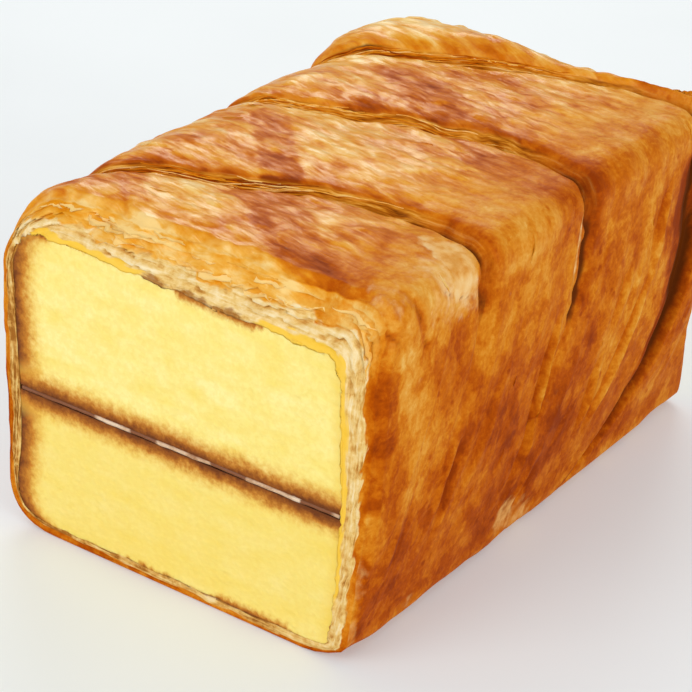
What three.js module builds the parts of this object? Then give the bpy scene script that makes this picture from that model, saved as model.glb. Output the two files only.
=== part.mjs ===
import * as THREE from "three";

// A loaf of two sponge layers with a thin cream seam between them, wrapped in
// puff pastry and cut square at both ends. The wrap is slashed obliquely across
// the top: it rose into four pillows, each with a steep lip on its front side.
//
// Millimetres, +Z up. +X runs to the right along the front cut face, +Y to the
// back, and the origin is on the underside, below the middle of the loaf.

// ---- driving sizes -------------------------------------------------------
const LENGTH = 158; // cut end to cut end
const GAP = 0.3; // clearance between neighbouring pieces
const CORNER_STEPS = 5; // facets round each corner of an outline

// Outline of the baked wrap, counter-clockwise seen from the front. x, z is
// where two sides would meet, round is how far from there the rounding begins,
// and steps divides the side up to the next corner.
const WRAP_OUTLINE = [
  { x: -53.6, z: 0, round: 14, steps: 6 }, // under the left edge
  { x: 49.6, z: 0, round: 4, steps: 5 }, // under the right edge
  { x: 54.6, z: 47, round: 16, steps: 5 }, // where the right side stops leaning out
  { x: 55.2, z: 92.2, round: 10, steps: 16 }, // upper right edge
  { x: -54.4, z: 92.2, round: 25, steps: 5 }, // upper left edge
  { x: -54.4, z: 30, round: 8, steps: 4 }, // left side
];

// Outline of the sponge core in the same order.
const CORE_OUTLINE = [
  { x: -53.0, z: 2.4, round: 13, steps: 6 },
  { x: 44.8, z: 2.6, round: 3.5, steps: 5 },
  { x: 47.6, z: 38, round: 14, steps: 5 },
  { x: 45.6, z: 79.2, round: 4.5, steps: 16 },
  { x: -50.3, z: 83.6, round: 12, steps: 5 },
  { x: -48.8, z: 25, round: 9, steps: 4 }, // shallow waist in the left side
];

const SEAM_Z = 39.3; // middle of the cream seam
const CREAM_THICKNESS = 1.4;
const CREAM_INSET = 0.7; // the cream stops this far inside the sponge

// Slashes over the top, front to back. at: y where x is 0; rise: slope across
// the top; curl: how quickly it turns back past CURL_FROM; lean, power: how far
// it runs to the front on its way down the right side, and how late; top, side:
// depth of the cut there; floor: height at which the side part fades out.
const SLASHES = [
  { at: -39.5, rise: 0.36, lean: 36, power: 1.6, top: 3.4, side: 0.8, floor: 62 },
  { at: 11.2, rise: 0.27, lean: 39, power: 1.6, top: 4.2, side: 2.2, floor: 14 },
  { at: 59.0, rise: 0.43, lean: 58, power: 4.2, top: 4.2, side: 3.4, floor: 3 },
];
const CURL = 0.0068;
const CURL_FROM = 5;
const LEFT_LEAN = 34; // run to the front on the way down the left side
const LEFT_FLOOR = 52;
const SHOULDER_Z = 87; // below this an outline point counts as side
const LIP_RUN = 2.2; // from the bottom of a slash to the lip behind it
const TAIL_RUN = 5.2; // from the pillow before it down to the bottom of a slash
const END_CLEAR = 7; // least distance between a slash and a cut end

const PUFF_TOP = 1.7; // rise of a pillow on the top
const PUFF_SIDE = 1.0; // bulge of a pillow on the sides
const LIP_RISE = 0.9; // how much of it stands at the front lip
const BACK_HUMP = 2.4; // extra rise of the last pillow at its left end
const PILLOW_ROWS = 6; // rows across a pillow between lip and tail

const BEVEL_TOP = 5.4; // set-back of the browned skin at a cut end, on the top
const BEVEL_SIDE = 1.1; // and on the sides
const RAGGED = 0.8; // wave of that edge

const COLOURS = { crust: 0xc9802c, sponge: 0xf6e08a, cream: 0xf3e6d0 };

// ---- outlines ------------------------------------------------------------
const lerp = (a, b, t) => a + (b - a) * t;
const step01 = (a, b, v) => {
  const t = Math.min(1, Math.max(0, (v - a) / (b - a)));
  return t * t * (3 - 2 * t);
};

// Points round an outline: an arc of CORNER_STEPS facets at each corner, then
// the straight run to the next. Two outlines with the same steps pair up.
function loop(corners) {
  const at = (i) => {
    const c = corners[(i + corners.length) % corners.length];
    return new THREE.Vector2(c.x, c.z);
  };
  const points = [];
  corners.forEach((c, i) => {
    const here = at(i);
    const into = at(i - 1).sub(here).normalize().multiplyScalar(c.round).add(here);
    const out = at(i + 1).sub(here).normalize().multiplyScalar(c.round).add(here);
    const arc = new THREE.QuadraticBezierCurve(into, here, out);
    for (let k = 0; k < CORNER_STEPS; k++)
      points.push(arc.getPoint(k / CORNER_STEPS));
    const next = corners[(i + 1) % corners.length];
    const end = here.clone().sub(at(i + 1)).normalize().multiplyScalar(next.round).add(at(i + 1));
    for (let k = 0; k < c.steps; k++)
      points.push(out.clone().lerp(end, k / c.steps));
  });
  return points;
}

// Outward directions of a counter-clockwise outline.
function outward(points) {
  return points.map((p, i) => {
    const a = points[(i + points.length - 1) % points.length];
    const b = points[(i + 1) % points.length];
    return new THREE.Vector2(b.y - a.y, a.x - b.x).normalize();
  });
}

// The part of an outline on one side of a level: sign +1 keeps what is above.
function keep(points, level, sign) {
  const kept = [];
  points.forEach((p, i) => {
    const q = points[(i + 1) % points.length];
    const a = sign * (p.y - level);
    const b = sign * (q.y - level);
    if (a >= 0) kept.push(p.clone());
    if (a * b < 0) kept.push(p.clone().lerp(q, a / (a - b)));
  });
  return kept;
}

// An outline drawn along the loaf between two y values.
function prism(points, from, to) {
  const geometry = new THREE.ExtrudeGeometry(new THREE.Shape(points), {
    depth: to - from,
    steps: 1,
    bevelEnabled: false,
  });
  return geometry.rotateX(Math.PI / 2).translate(0, to, 0);
}

// ---- the wrap ------------------------------------------------------------
const wrapLoop = loop(WRAP_OUTLINE);
const wrapOut = outward(wrapLoop);
const coreLoop = loop(CORE_OUTLINE);
const coreOut = outward(coreLoop);
const boreLoop = coreLoop.map((p, i) =>
  p.clone().addScaledVector(coreOut[i], GAP * 1.15),
);
const COUNT = wrapLoop.length;

// How far a slash line lies along the loaf at an outline point.
function slashY(slash, p) {
  const over = Math.max(0, p.x - CURL_FROM);
  const down = Math.max(0, SHOULDER_Z - p.y) / SHOULDER_Z;
  const run =
    p.x > 0
      ? slash.lean * Math.pow(down, slash.power)
      : LEFT_LEAN * Math.pow(down, 1.3);
  const y = slash.at + slash.rise * p.x - CURL * over * over - run;
  return Math.min(LENGTH / 2 - END_CLEAR, Math.max(END_CLEAR - LENGTH / 2, y));
}

function slashDepth(slash, p) {
  const top = step01(SHOULDER_Z - 12, SHOULDER_Z + 1, p.y);
  const floor = p.x > 0 ? slash.floor : LEFT_FLOOR;
  const side = slash.side * step01(floor, floor + 16, p.y);
  return lerp(side, slash.top, top);
}

// Share of the swelling that a point takes: none underneath, all on the top.
function swelling(p) {
  const side = step01(6, 34, p.y);
  const top = step01(SHOULDER_Z - 14, SHOULDER_Z + 2, p.y);
  return { side, rise: lerp(PUFF_SIDE * side, PUFF_TOP, top), top };
}

// Set-back of the browned edge at a cut end.
function bevel(p, i) {
  const { top, side } = swelling(p);
  const wave = RAGGED * Math.sin(i * 0.9) * Math.max(top, 0.3 * side);
  return lerp(BEVEL_SIDE * side, BEVEL_TOP, top) + wave;
}

// One row of the outer surface: y and lift of every outline point.
function outerRow(place, lift) {
  return wrapLoop.map((p, i) => {
    const d = lift(p, i);
    return new THREE.Vector3(
      p.x + wrapOut[i].x * d,
      place(p, i),
      Math.max(0, p.y + wrapOut[i].y * d),
    );
  });
}

const frontY = (p, i) => -LENGTH / 2 + bevel(p, i);
const backY = (p, i) => LENGTH / 2 - bevel(p, i + 3);
const lines = [
  frontY,
  ...SLASHES.map((slash) => (p) => slashY(slash, p)),
  backY,
];

function wrapRows() {
  const rows = [];
  for (let k = 0; k + 1 < lines.length; k++) {
    const first = k === 0;
    const last = k + 2 === lines.length;
    const head = (p, i) =>
      first ? 3 : Math.min(LIP_RUN, 0.22 * (lines[k + 1](p, i) - lines[k](p, i)));
    const tail = (p, i) =>
      last ? 3 : Math.min(TAIL_RUN, 0.3 * (lines[k + 1](p, i) - lines[k](p, i)));
    // the bottom of the slash in front of this pillow, or the cut edge
    rows.push(
      outerRow(lines[k], (p) =>
        first ? -0.4 * swelling(p).rise : -slashDepth(SLASHES[k - 1], p),
      ),
    );
    for (let n = 0; n <= PILLOW_ROWS; n++) {
      const t = n / PILLOW_ROWS;
      rows.push(
        outerRow(
          (p, i) =>
            lerp(
              lines[k](p, i) + head(p, i),
              lines[k + 1](p, i) - tail(p, i),
              t,
            ),
          (p) => {
            const { rise, top } = swelling(p);
            const dome = Math.sin(Math.PI * (0.16 + 0.72 * t));
            const lip = first ? 0 : LIP_RISE * top * Math.exp(-9 * t);
            const hump = last
              ? BACK_HUMP * top * step01(20, -30, p.x) * Math.sin(Math.PI * (0.2 + 0.6 * t))
              : 0;
            return rise * dome + lip + hump;
          },
        ),
      );
    }
  }
  rows.push(outerRow(backY, (p) => -0.4 * swelling(p).rise));
  return rows;
}

// The cut end of the wrap: from the browned edge in to the sponge.
function endRows(edge, y) {
  const inner = boreLoop.map((p) => new THREE.Vector3(p.x, y, p.y));
  const middle = edge.map(
    (p, i) =>
      new THREE.Vector3(
        lerp(p.x, inner[i].x, 0.5),
        lerp(p.y, y, 0.72),
        lerp(p.z, inner[i].z, 0.5),
      ),
  );
  return [middle, inner];
}

// A closed tube from rows of equal length that follow one another all the way
// round: along the outside, in over the back end, through, and out at the front.
function tube(rows) {
  const positions = [];
  const index = [];
  rows.forEach((row) => row.forEach((p) => positions.push(p.x, p.y, p.z)));
  rows.forEach((_, j) => {
    const a = j * COUNT;
    const b = ((j + 1) % rows.length) * COUNT;
    for (let i = 0; i < COUNT; i++) {
      const n = (i + 1) % COUNT;
      index.push(a + i, b + i, b + n, a + i, b + n, a + n);
    }
  });
  const geometry = new THREE.BufferGeometry();
  geometry.setAttribute(
    "position",
    new THREE.Float32BufferAttribute(positions, 3),
  );
  geometry.setIndex(index);
  geometry.computeVertexNormals();
  return geometry;
}

function wrapGeometry() {
  const outside = wrapRows();
  const back = endRows(outside[outside.length - 1], LENGTH / 2);
  const front = endRows(outside[0], -LENGTH / 2);
  return tube([...outside, ...back, ...front.reverse()]);
}

// ---- sponge and cream ----------------------------------------------------
const half = CREAM_THICKNESS / 2 + GAP;
const upperOutline = keep(coreLoop, SEAM_Z + half, 1);
const lowerOutline = keep(coreLoop, SEAM_Z - half, -1);

function creamOutline() {
  const level = keep(coreLoop, SEAM_Z, 1).filter(
    (p) => Math.abs(p.y - SEAM_Z) < 1e-6,
  );
  const left = Math.min(...level.map((p) => p.x)) + CREAM_INSET;
  const right = Math.max(...level.map((p) => p.x)) - CREAM_INSET;
  const r = CREAM_THICKNESS / 2;
  const shape = new THREE.Path();
  shape.absarc(right - r, SEAM_Z, r, -Math.PI / 2, Math.PI / 2, false);
  shape.absarc(left + r, SEAM_Z, r, Math.PI / 2, (3 * Math.PI) / 2, false);
  return shape.getPoints(6);
}

// ---- the loaf ------------------------------------------------------------
const finish = (colour, roughness) =>
  new THREE.MeshStandardMaterial({ color: colour, roughness, metalness: 0 });

function piece(name, geometry, material) {
  const mesh = new THREE.Mesh(geometry, material);
  mesh.name = name;
  return mesh;
}

const loaf = new THREE.Group();
loaf.add(
  piece("pastry_wrap", wrapGeometry(), finish(COLOURS.crust, 0.42)),
  piece(
    "sponge_upper",
    prism(upperOutline, -LENGTH / 2, LENGTH / 2),
    finish(COLOURS.sponge, 0.85),
  ),
  piece(
    "sponge_lower",
    prism(lowerOutline, -LENGTH / 2, LENGTH / 2),
    finish(COLOURS.sponge, 0.85),
  ),
  piece(
    "cream_layer",
    prism(creamOutline(), -LENGTH / 2 + CREAM_INSET, LENGTH / 2 - CREAM_INSET),
    finish(COLOURS.cream, 0.5),
  ),
);

export default loaf;
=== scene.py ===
import math

import bpy
import numpy as np
from mathutils import Matrix, Vector


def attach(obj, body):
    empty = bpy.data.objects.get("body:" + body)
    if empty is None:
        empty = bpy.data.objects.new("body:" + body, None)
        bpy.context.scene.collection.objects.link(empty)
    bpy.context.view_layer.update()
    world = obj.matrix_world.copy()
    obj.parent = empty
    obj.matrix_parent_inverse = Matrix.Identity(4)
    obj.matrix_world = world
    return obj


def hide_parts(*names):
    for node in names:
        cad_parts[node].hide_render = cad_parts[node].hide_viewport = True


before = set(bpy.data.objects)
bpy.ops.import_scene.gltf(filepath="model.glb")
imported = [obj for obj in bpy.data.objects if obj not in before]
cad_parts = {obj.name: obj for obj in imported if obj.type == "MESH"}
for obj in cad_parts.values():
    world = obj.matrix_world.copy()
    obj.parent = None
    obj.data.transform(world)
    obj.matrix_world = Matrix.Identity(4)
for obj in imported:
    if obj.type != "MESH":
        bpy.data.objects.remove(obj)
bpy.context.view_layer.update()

# A loaf of two sponge layers and a cream seam in slashed puff pastry. Sizes here are in
# millimetres, in the same frame as the solids: +X right along the front cut face, +Y to the
# back, +Z up, origin under the middle. Meshes are scaled to metres when they are made.
MM = 0.001
HALF = 79.0  # half the length

# ------------------------------------------------------------------ noise
_perm = np.random.RandomState(7).permutation(512)
_grads = np.array(
    [[1, 1, 0], [-1, 1, 0], [1, -1, 0], [-1, -1, 0], [1, 0, 1], [-1, 0, 1],
     [1, 0, -1], [-1, 0, -1], [0, 1, 1], [0, -1, 1], [0, 1, -1], [0, -1, -1]], float)


def noise(x, y, z=0.0, seed=0):
    """Gradient noise, about -1 to 1."""
    x, y, z = np.broadcast_arrays(np.asarray(x, float), np.asarray(y, float), np.asarray(z, float) + seed * 17.37)
    xi, yi, zi = (np.floor(a).astype(np.int64) for a in (x, y, z))
    fx, fy, fz = x - xi, y - yi, z - zi
    ux, uy, uz = (f * f * f * (f * (f * 6 - 15) + 10) for f in (fx, fy, fz))
    out = 0.0
    for dx in (0, 1):
        for dy in (0, 1):
            for dz in (0, 1):
                h = _perm[(_perm[(_perm[(xi + dx) & 511] + yi + dy) & 511] + zi + dz) & 511] % 12
                g = _grads[h]
                d = g[..., 0] * (fx - dx) + g[..., 1] * (fy - dy) + g[..., 2] * (fz - dz)
                w = (ux if dx else 1 - ux) * (uy if dy else 1 - uy) * (uz if dz else 1 - uz)
                out = out + w * d
    return out * 1.05


def fbm(x, y, z=0.0, seed=0, octaves=3, gain=0.5):
    total, amp, f = 0.0, 1.0, 1.0
    for k in range(octaves):
        total = total + amp * noise(np.asarray(x) * f, np.asarray(y) * f, np.asarray(z) * f, seed + 5 * k)
        amp *= gain
        f *= 2.03
    return total


def ridge(x, y, z=0.0, seed=0):
    """Noise with sharp crests, 0 to 1."""
    return 1.0 - np.minimum(1.0, np.abs(noise(x, y, z, seed)) * 2.2)


def smooth(a, b, v):
    t = np.clip((np.asarray(v, float) - a) / (b - a), 0, 1)
    return t * t * (3 - 2 * t)


def mix(a, b, t):
    return a + (b - a) * t


def srgb(r, g, b):
    """0-255 display values to the linear values that shader sockets take."""
    c = np.array([r, g, b], float) / 255
    c = np.where(c <= 0.04045, c / 12.92, ((c + 0.055) / 1.055) ** 2.4)
    return (float(c[0]), float(c[1]), float(c[2]), 1.0)


# ------------------------------------------------------------------ outlines
WRAP = [(-53.6, 0.0, 14.0), (49.6, 0.0, 4.0), (54.6, 47.0, 16.0), (55.2, 92.2, 6.5), (-54.4, 92.2, 25.0), (-54.4, 30.0, 8.0)]
CORE = [(-53.0, 2.4, 13.0), (44.8, 2.6, 3.5), (47.6, 38.0, 14.0), (45.6, 79.2, 4.5), (-50.3, 83.6, 12.0), (-48.8, 25.0, 9.0)]


def outline(corners, q):
    """Points of a rounded outline at q: the whole part names the corner, the first half of the
    rest runs round it and the second half along the side to the next one."""
    c = np.array([[a, b] for a, b, _ in corners], float)
    r = np.array([k for _, _, k in corners], float)
    n = len(c)
    q = np.mod(q, n)
    i = np.floor(q).astype(int)
    f = q - i
    here, before, after = c[i], c[(i - 1) % n], c[(i + 1) % n]
    unit = lambda v: v / np.linalg.norm(v, axis=-1, keepdims=True)
    into = here + unit(before - here) * r[i][:, None]
    out = here + unit(after - here) * r[i][:, None]
    end = after + unit(here - after) * r[(i + 1) % n][:, None]
    t = np.clip(f * 2, 0, 1)[:, None]
    arc = (1 - t) ** 2 * into + 2 * t * (1 - t) * here + t * t * out
    u = np.clip(f * 2 - 1, 0, 1)[:, None]
    side = out + (end - out) * u
    return np.where((f < 0.5)[:, None], arc, side)


def outward(points):
    d = np.roll(points, -1, 0) - np.roll(points, 1, 0)
    n = np.stack([d[:, 1], -d[:, 0]], 1)
    return n / np.linalg.norm(n, axis=1, keepdims=True)


# ------------------------------------------------------------------ meshes
def make_mesh(name, verts, faces, attributes=None, smooth_faces=True, material_index=None):
    """A mesh object from vertex and face arrays, in mm; faces is one array or several of equal-sided faces."""
    blocks = [np.asarray(f, np.int32) for f in (faces if isinstance(faces, (list, tuple)) else [faces]) if len(f)]
    mesh = bpy.data.meshes.new(name)
    mesh.vertices.add(len(verts))
    mesh.vertices.foreach_set("co", (np.asarray(verts, np.float64) * MM).astype(np.float32).ravel())
    counts = np.concatenate([np.full(len(b), b.shape[1], np.int32) for b in blocks])
    loops = np.concatenate([b.ravel() for b in blocks])
    starts = np.concatenate([[0], np.cumsum(counts)[:-1]]).astype(np.int32)
    mesh.loops.add(len(loops))
    mesh.loops.foreach_set("vertex_index", loops)
    mesh.polygons.add(len(counts))
    mesh.polygons.foreach_set("loop_start", starts)
    mesh.polygons.foreach_set("loop_total", counts)
    mesh.polygons.foreach_set("use_smooth", np.full(len(counts), smooth_faces, bool))
    if material_index is not None:
        mesh.polygons.foreach_set("material_index", np.asarray(material_index, np.int32))
    mesh.update(calc_edges=True)
    mesh.validate()
    for key, value in (attributes or {}).items():
        value = np.asarray(value, np.float32)
        if value.ndim == 1:
            a = mesh.attributes.new(key, "FLOAT", "POINT")
            a.data.foreach_set("value", value)
        else:
            a = mesh.attributes.new(key, "FLOAT_VECTOR", "POINT")
            a.data.foreach_set("vector", value.ravel())
    obj = bpy.data.objects.new(name, mesh)
    bpy.context.scene.collection.objects.link(obj)
    return obj


def grid_quads(rows, cols, wrap_rows=False, wrap_cols=False, offset=0, flip=False):
    j = np.arange(rows if wrap_rows else rows - 1)
    i = np.arange(cols if wrap_cols else cols - 1)
    jj, ii = np.meshgrid(j, i, indexing="ij")
    a = jj * cols + ii
    b = ((jj + 1) % rows) * cols + ii
    c = ((jj + 1) % rows) * cols + (ii + 1) % cols
    d = jj * cols + (ii + 1) % cols
    q = np.stack([a, b, c, d], -1).reshape(-1, 4) + offset
    return q[:, ::-1] if flip else q


# ------------------------------------------------------------------ node helpers
class Nodes:
    def __init__(self, name):
        self.material = bpy.data.materials.new(name)
        self.material.use_nodes = True
        self.tree = self.material.node_tree
        self.tree.nodes.clear()
        self.out = self.tree.nodes.new("ShaderNodeOutputMaterial")
        self.bsdf = self.tree.nodes.new("ShaderNodeBsdfPrincipled")
        self.link(self.bsdf.outputs[0], self.out.inputs["Surface"])

    def link(self, a, b):
        self.tree.links.new(a, b)

    def new(self, kind, **props):
        n = self.tree.nodes.new(kind)
        for k, v in props.items():
            setattr(n, k, v)
        return n

    def put(self, socket, value):
        if hasattr(value, "is_linked") or isinstance(value, bpy.types.NodeSocket):
            self.link(value, socket)
        else:
            socket.default_value = value

    def attribute(self, name, kind="Fac"):
        n = self.new("ShaderNodeAttribute", attribute_name=name)
        return n.outputs[kind]

    def position(self):
        return self.new("ShaderNodeTexCoord").outputs["Object"]

    def scaled(self, vector, scale, location=(0, 0, 0), rotation=(0, 0, 0)):
        n = self.new("ShaderNodeMapping")
        self.put(n.inputs["Vector"], vector)
        n.inputs["Scale"].default_value = scale
        n.inputs["Location"].default_value = location
        n.inputs["Rotation"].default_value = rotation
        return n.outputs[0]

    def noise(self, vector, scale, detail=3.0, rough=0.55, distortion=0.0):
        n = self.new("ShaderNodeTexNoise")
        self.put(n.inputs["Vector"], vector)
        n.inputs["Scale"].default_value = scale
        n.inputs["Detail"].default_value = detail
        n.inputs["Roughness"].default_value = rough
        n.inputs["Distortion"].default_value = distortion
        return n.outputs["Fac"]

    def voronoi(self, vector, scale, feature="F1"):
        n = self.new("ShaderNodeTexVoronoi", feature=feature)
        self.put(n.inputs["Vector"], vector)
        n.inputs["Scale"].default_value = scale
        return n.outputs["Distance"]

    def math(self, op, a, b=None, c=None, clamp=False):
        n = self.new("ShaderNodeMath", operation=op, use_clamp=clamp)
        for s, v in zip(n.inputs, (a, b, c)):
            if v is not None:
                self.put(s, v)
        return n.outputs[0]

    def range(self, value, a, b, lo=0.0, hi=1.0, kind="SMOOTHSTEP"):
        n = self.new("ShaderNodeMapRange", interpolation_type=kind)
        self.put(n.inputs["Value"], value)
        n.inputs["From Min"].default_value = a
        n.inputs["From Max"].default_value = b
        n.inputs["To Min"].default_value = lo
        n.inputs["To Max"].default_value = hi
        return n.outputs["Result"]

    def ramp(self, value, stops):
        n = self.new("ShaderNodeValToRGB")
        self.put(n.inputs["Fac"], value)
        e = n.color_ramp.elements
        while len(e) < len(stops):
            e.new(0.5)
        for el, (p, col) in zip(e, stops):
            el.position = p
            el.color = col
        return n.outputs["Color"]

    def mix(self, fac, a, b, blend="MIX"):
        n = self.new("ShaderNodeMix", data_type="RGBA", blend_type=blend)
        self.put(n.inputs[0], fac)
        self.put(n.inputs[6], a)
        self.put(n.inputs[7], b)
        return n.outputs[2]

    def bump(self, height, strength, distance, normal=None):
        n = self.new("ShaderNodeBump")
        n.inputs["Strength"].default_value = strength
        n.inputs["Distance"].default_value = distance
        self.put(n.inputs["Height"], height)
        if normal is not None:
            self.put(n.inputs["Normal"], normal)
        return n.outputs[0]


# ------------------------------------------------------------------ camera
def make_camera():
    unit = 0.94 * MM
    az, el, roll = (math.radians(a) for a in (34.555, 28.358, 2.084))
    back = Vector((math.sin(az) * math.cos(el), -math.cos(az) * math.cos(el), math.sin(el)))
    right = (-back).cross(Vector((0, 0, 1))).normalized()
    up = right.cross(-back)
    right, up = right * math.cos(roll) + up * math.sin(roll), up * math.cos(roll) - right * math.sin(roll)
    place = Vector((0, 0, 50 * unit)) + back * (659.09 * unit) + right * (-7.275 * unit) + up * (-12.32 * unit)
    data = bpy.data.cameras.new("camera")
    data.sensor_width = 36.0
    data.lens = 2430.04 / 692 * 36.0
    data.clip_start, data.clip_end = 0.01, 50.0
    cam = bpy.data.objects.new("camera", data)
    bpy.context.scene.collection.objects.link(cam)
    m = Matrix((right, up, back)).transposed().to_4x4()
    m.translation = place
    cam.matrix_world = m
    bpy.context.scene.camera = cam


make_camera()

# ------------------------------------------------------------------ pastry: form
SLASH = [
    # at, rise, lean, power, depth on top, depth on the side, where the side part fades
    (-39.5, 0.36, 36.0, 1.6, 3.3, 1.0, 60.0),
    (11.2, 0.27, 39.0, 1.6, 4.0, 2.2, 12.0),
    (59.0, 0.43, 58.0, 4.2, 2.7, 3.6, 2.0),
]
SHOULDER = 87.0
N_U = 256
WALL, PILLOW, TAIL, END = 9, 60, 8, 26


def section_samples(count):
    """Outline parameters spread so that the top and the right side get the most points."""
    q = np.linspace(0, 6, 24001)[:-1]
    p = outline(WRAP, q)
    step = np.linalg.norm(np.roll(p, -1, 0) - p, axis=1)
    x, z = p[:, 0], p[:, 1]
    weight = np.where(z < 1.5, 0.30, np.where((x < -45) & (z < 80), 0.62, np.where((x > 45) & (z < 84), 0.92, 1.15)))
    weight = np.convolve(np.concatenate([weight[-300:], weight, weight[:300]]), np.ones(601) / 601, "valid")
    total = np.concatenate([[0], np.cumsum(step * weight)])
    want = (np.arange(count) + 0.5) / count * total[-1]
    return np.interp(want, total, np.concatenate([q, [6.0]]))


# the parameter starts in the middle of the underside, so its seam is never seen
Q = np.sort(np.mod(section_samples(N_U) - 0.75, 6.0)) + 0.75
BASE = outline(WRAP, Q)
NORMAL = outward(BASE)
BORE = outline(CORE, Q) + outward(outline(CORE, Q)) * 0.02
ARC = np.concatenate([[0], np.cumsum(np.linalg.norm(np.diff(BASE, axis=0), axis=1))])
X, Z = BASE[:, 0], BASE[:, 1]
TOP = smooth(SHOULDER - 14, SHOULDER + 2, Z)
SIDE = smooth(4, 30, Z)
ARC = ARC - np.interp(0.0, X[TOP > 0.99][::-1], ARC[TOP > 0.99][::-1])  # 0 at the middle of the top
DOWN = np.maximum(0, SHOULDER - Z) / SHOULDER


def slash_line(k):
    at, rise, lean, power, _, _, _ = SLASH[k]
    over = np.maximum(0, X - 5)
    run = np.where(X > 0, lean * DOWN ** power, 34 * DOWN ** 1.3)
    y = at + rise * X - 0.0068 * over ** 2 - run
    y = y + SIDE * (1.0 * noise(ARC / 14, k * 3.1, seed=3) + 0.7 * noise(ARC / 5.5, k * 5.7, seed=4))
    if k == 1:
        y = y + np.where(X > 0, 1.4 * smooth(90, 82, Z) * noise(ARC / 3.6, 0.4, seed=5), 0.0)
    return np.clip(y, 7 - HALF, HALF - 7)


def slash_depth(k):
    top = smooth(SHOULDER - 12, SHOULDER + 1, Z)
    floor = np.where(X > 0, SLASH[k][6], 52.0)
    side = SLASH[k][5] * smooth(floor, floor + 16, Z)
    if k == 1:
        side = side * mix(0.32, 1.0, np.where(X > 0, smooth(52, 68, Z), 1.0))
    return mix(side, SLASH[k][4] * (0.85 + 0.35 * noise(ARC / 15, k * 1.7, seed=6)), top)


def set_back(seed):
    wave = 1.6 * noise(ARC / 9, 0.3, seed=seed) + 1.0 * noise(ARC / 3.1, 0.7, seed=seed + 1)
    return np.maximum(mix(np.where(X > 0, 1.9, 0.8) * SIDE, 5.2, TOP) + wave * np.maximum(TOP, 0.35 * SIDE), 0.05 * SIDE)


LINES = [-HALF + set_back(11)] + [slash_line(k) for k in range(3)] + [HALF - set_back(13)]
NOMINAL = [-HALF + 4, SLASH[0][0], SLASH[1][0], SLASH[2][0], HALF - 4]
RISE = mix(1.0 * SIDE, 1.7, TOP)
EDGE_DROP = mix(np.where(X > 0, 1.25, 0.45) * SIDE, 0.77, TOP)

rows_y, rows_h, rows_w, rows_groove, rows_wall = [], [], [], [], []
for k in range(4):
    a, b = LINES[k], LINES[k + 1]
    span = b - a
    first, last = k == 0, k == 3
    head = np.full(N_U, 2.6) if first else np.minimum(mix((0, 5.0, 5.0, 3.0)[k], 4.0, TOP), 0.25 * span)
    valley = 3.0 + 11.0 * smooth(4, 56, Z)
    tail = np.full(N_U, 2.6) if last else np.minimum(mix((4.6, 4.6, valley)[k], 3.4, TOP), 0.3 * span)
    depth = EDGE_DROP if first else slash_depth(k - 1)
    next_depth = EDGE_DROP if last else slash_depth(k)
    na, nb = NOMINAL[k], NOMINAL[k + 1]
    shut = 0.55 + 0.6 * smooth(-0.2, 0.4, noise(ARC / 10, k * 2.3, seed=8))

    def pillow(t):
        dome = np.sin(np.pi * mix(0.2 + 0.68 * t, 0.25 + 0.69 * t, TOP))
        mm = t * span
        lip = 0.0 if first else -0.4 * TOP * np.exp(-mm / 2.3) - 0.35 * depth * (1 - TOP) * np.exp(-mm / 2.0)
        hump = 2.8 * TOP * smooth(12, -12, X) * np.sin(np.pi * (0.2 + 0.6 * t)) if last else 0.0
        return RISE * dome + lip + hump

    for n in range(WALL):  # up the front lip: steep on top, a long slope on the sides
        f = n / WALL
        rise = smooth(0, 1, f) if first else mix(smooth(0.30, 1.1, f), max(0.0, (f - 0.18) / 0.82) ** 0.9, TOP)
        rows_y.append(a + head * (f if first else f ** 1.15))
        rows_h.append(mix(-depth, pillow(0.0), rise))
        rows_w.append(np.full(N_U, na + (nb - na) * 0.04 * f))
        on = 0.0 if first else 1.0
        # painted shade at the foot of each slash wall
        rows_groove.append(on * mix(smooth(1.0, 0.5, f), max(0.0, 1 - f * 1.8) * shut, TOP))
        rows_wall.append(on * mix(0.0, float(smooth((0, 1.05, 1.00, 0.85)[k], 0.70, f)), TOP))
    for n in range(PILLOW):
        t = (n / (PILLOW - 1)) ** 1.15
        rows_y.append(a + head + (span - head - tail) * t)
        rows_h.append(pillow(t))
        rows_w.append(np.full(N_U, na + (nb - na) * (0.04 + 0.86 * t)))
        rows_groove.append(np.zeros(N_U))
        rows_wall.append(np.zeros(N_U))
    for n in range(1, TAIL + 1):  # down into the next slash
        f = n / TAIL
        if last:
            rows_y.append(b - tail * (1 - n / (TAIL + 1)))
            rows_h.append(mix(pillow(1.0), -next_depth, smooth(0, 1, n / (TAIL + 1))))
        else:
            rows_y.append(b - 0.30 - (tail - 0.30) * (1 - f))
            rows_h.append(mix(pillow(1.0), -mix((0.05, 0.05, 0.55)[k], 0.85, TOP) * next_depth, f ** mix((3.0, 3.0, 1.3)[k], 1.8, TOP)))
        rows_w.append(np.full(N_U, na + (nb - na) * (0.90 + 0.095 * f)))
        on = 0.0 if last else 1.0
        rows_groove.append((1 - TOP) * smooth(0.55, 0.95, f) if k == 2 else np.zeros(N_U))
        rows_wall.append(TOP * on * max(0.0, f - 0.76) * 2.6)
rows_y.append(LINES[4])
rows_h.append(-EDGE_DROP)
rows_w.append(np.full(N_U, NOMINAL[4]))
rows_groove.append(np.zeros(N_U))
rows_wall.append(np.zeros(N_U))

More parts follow.
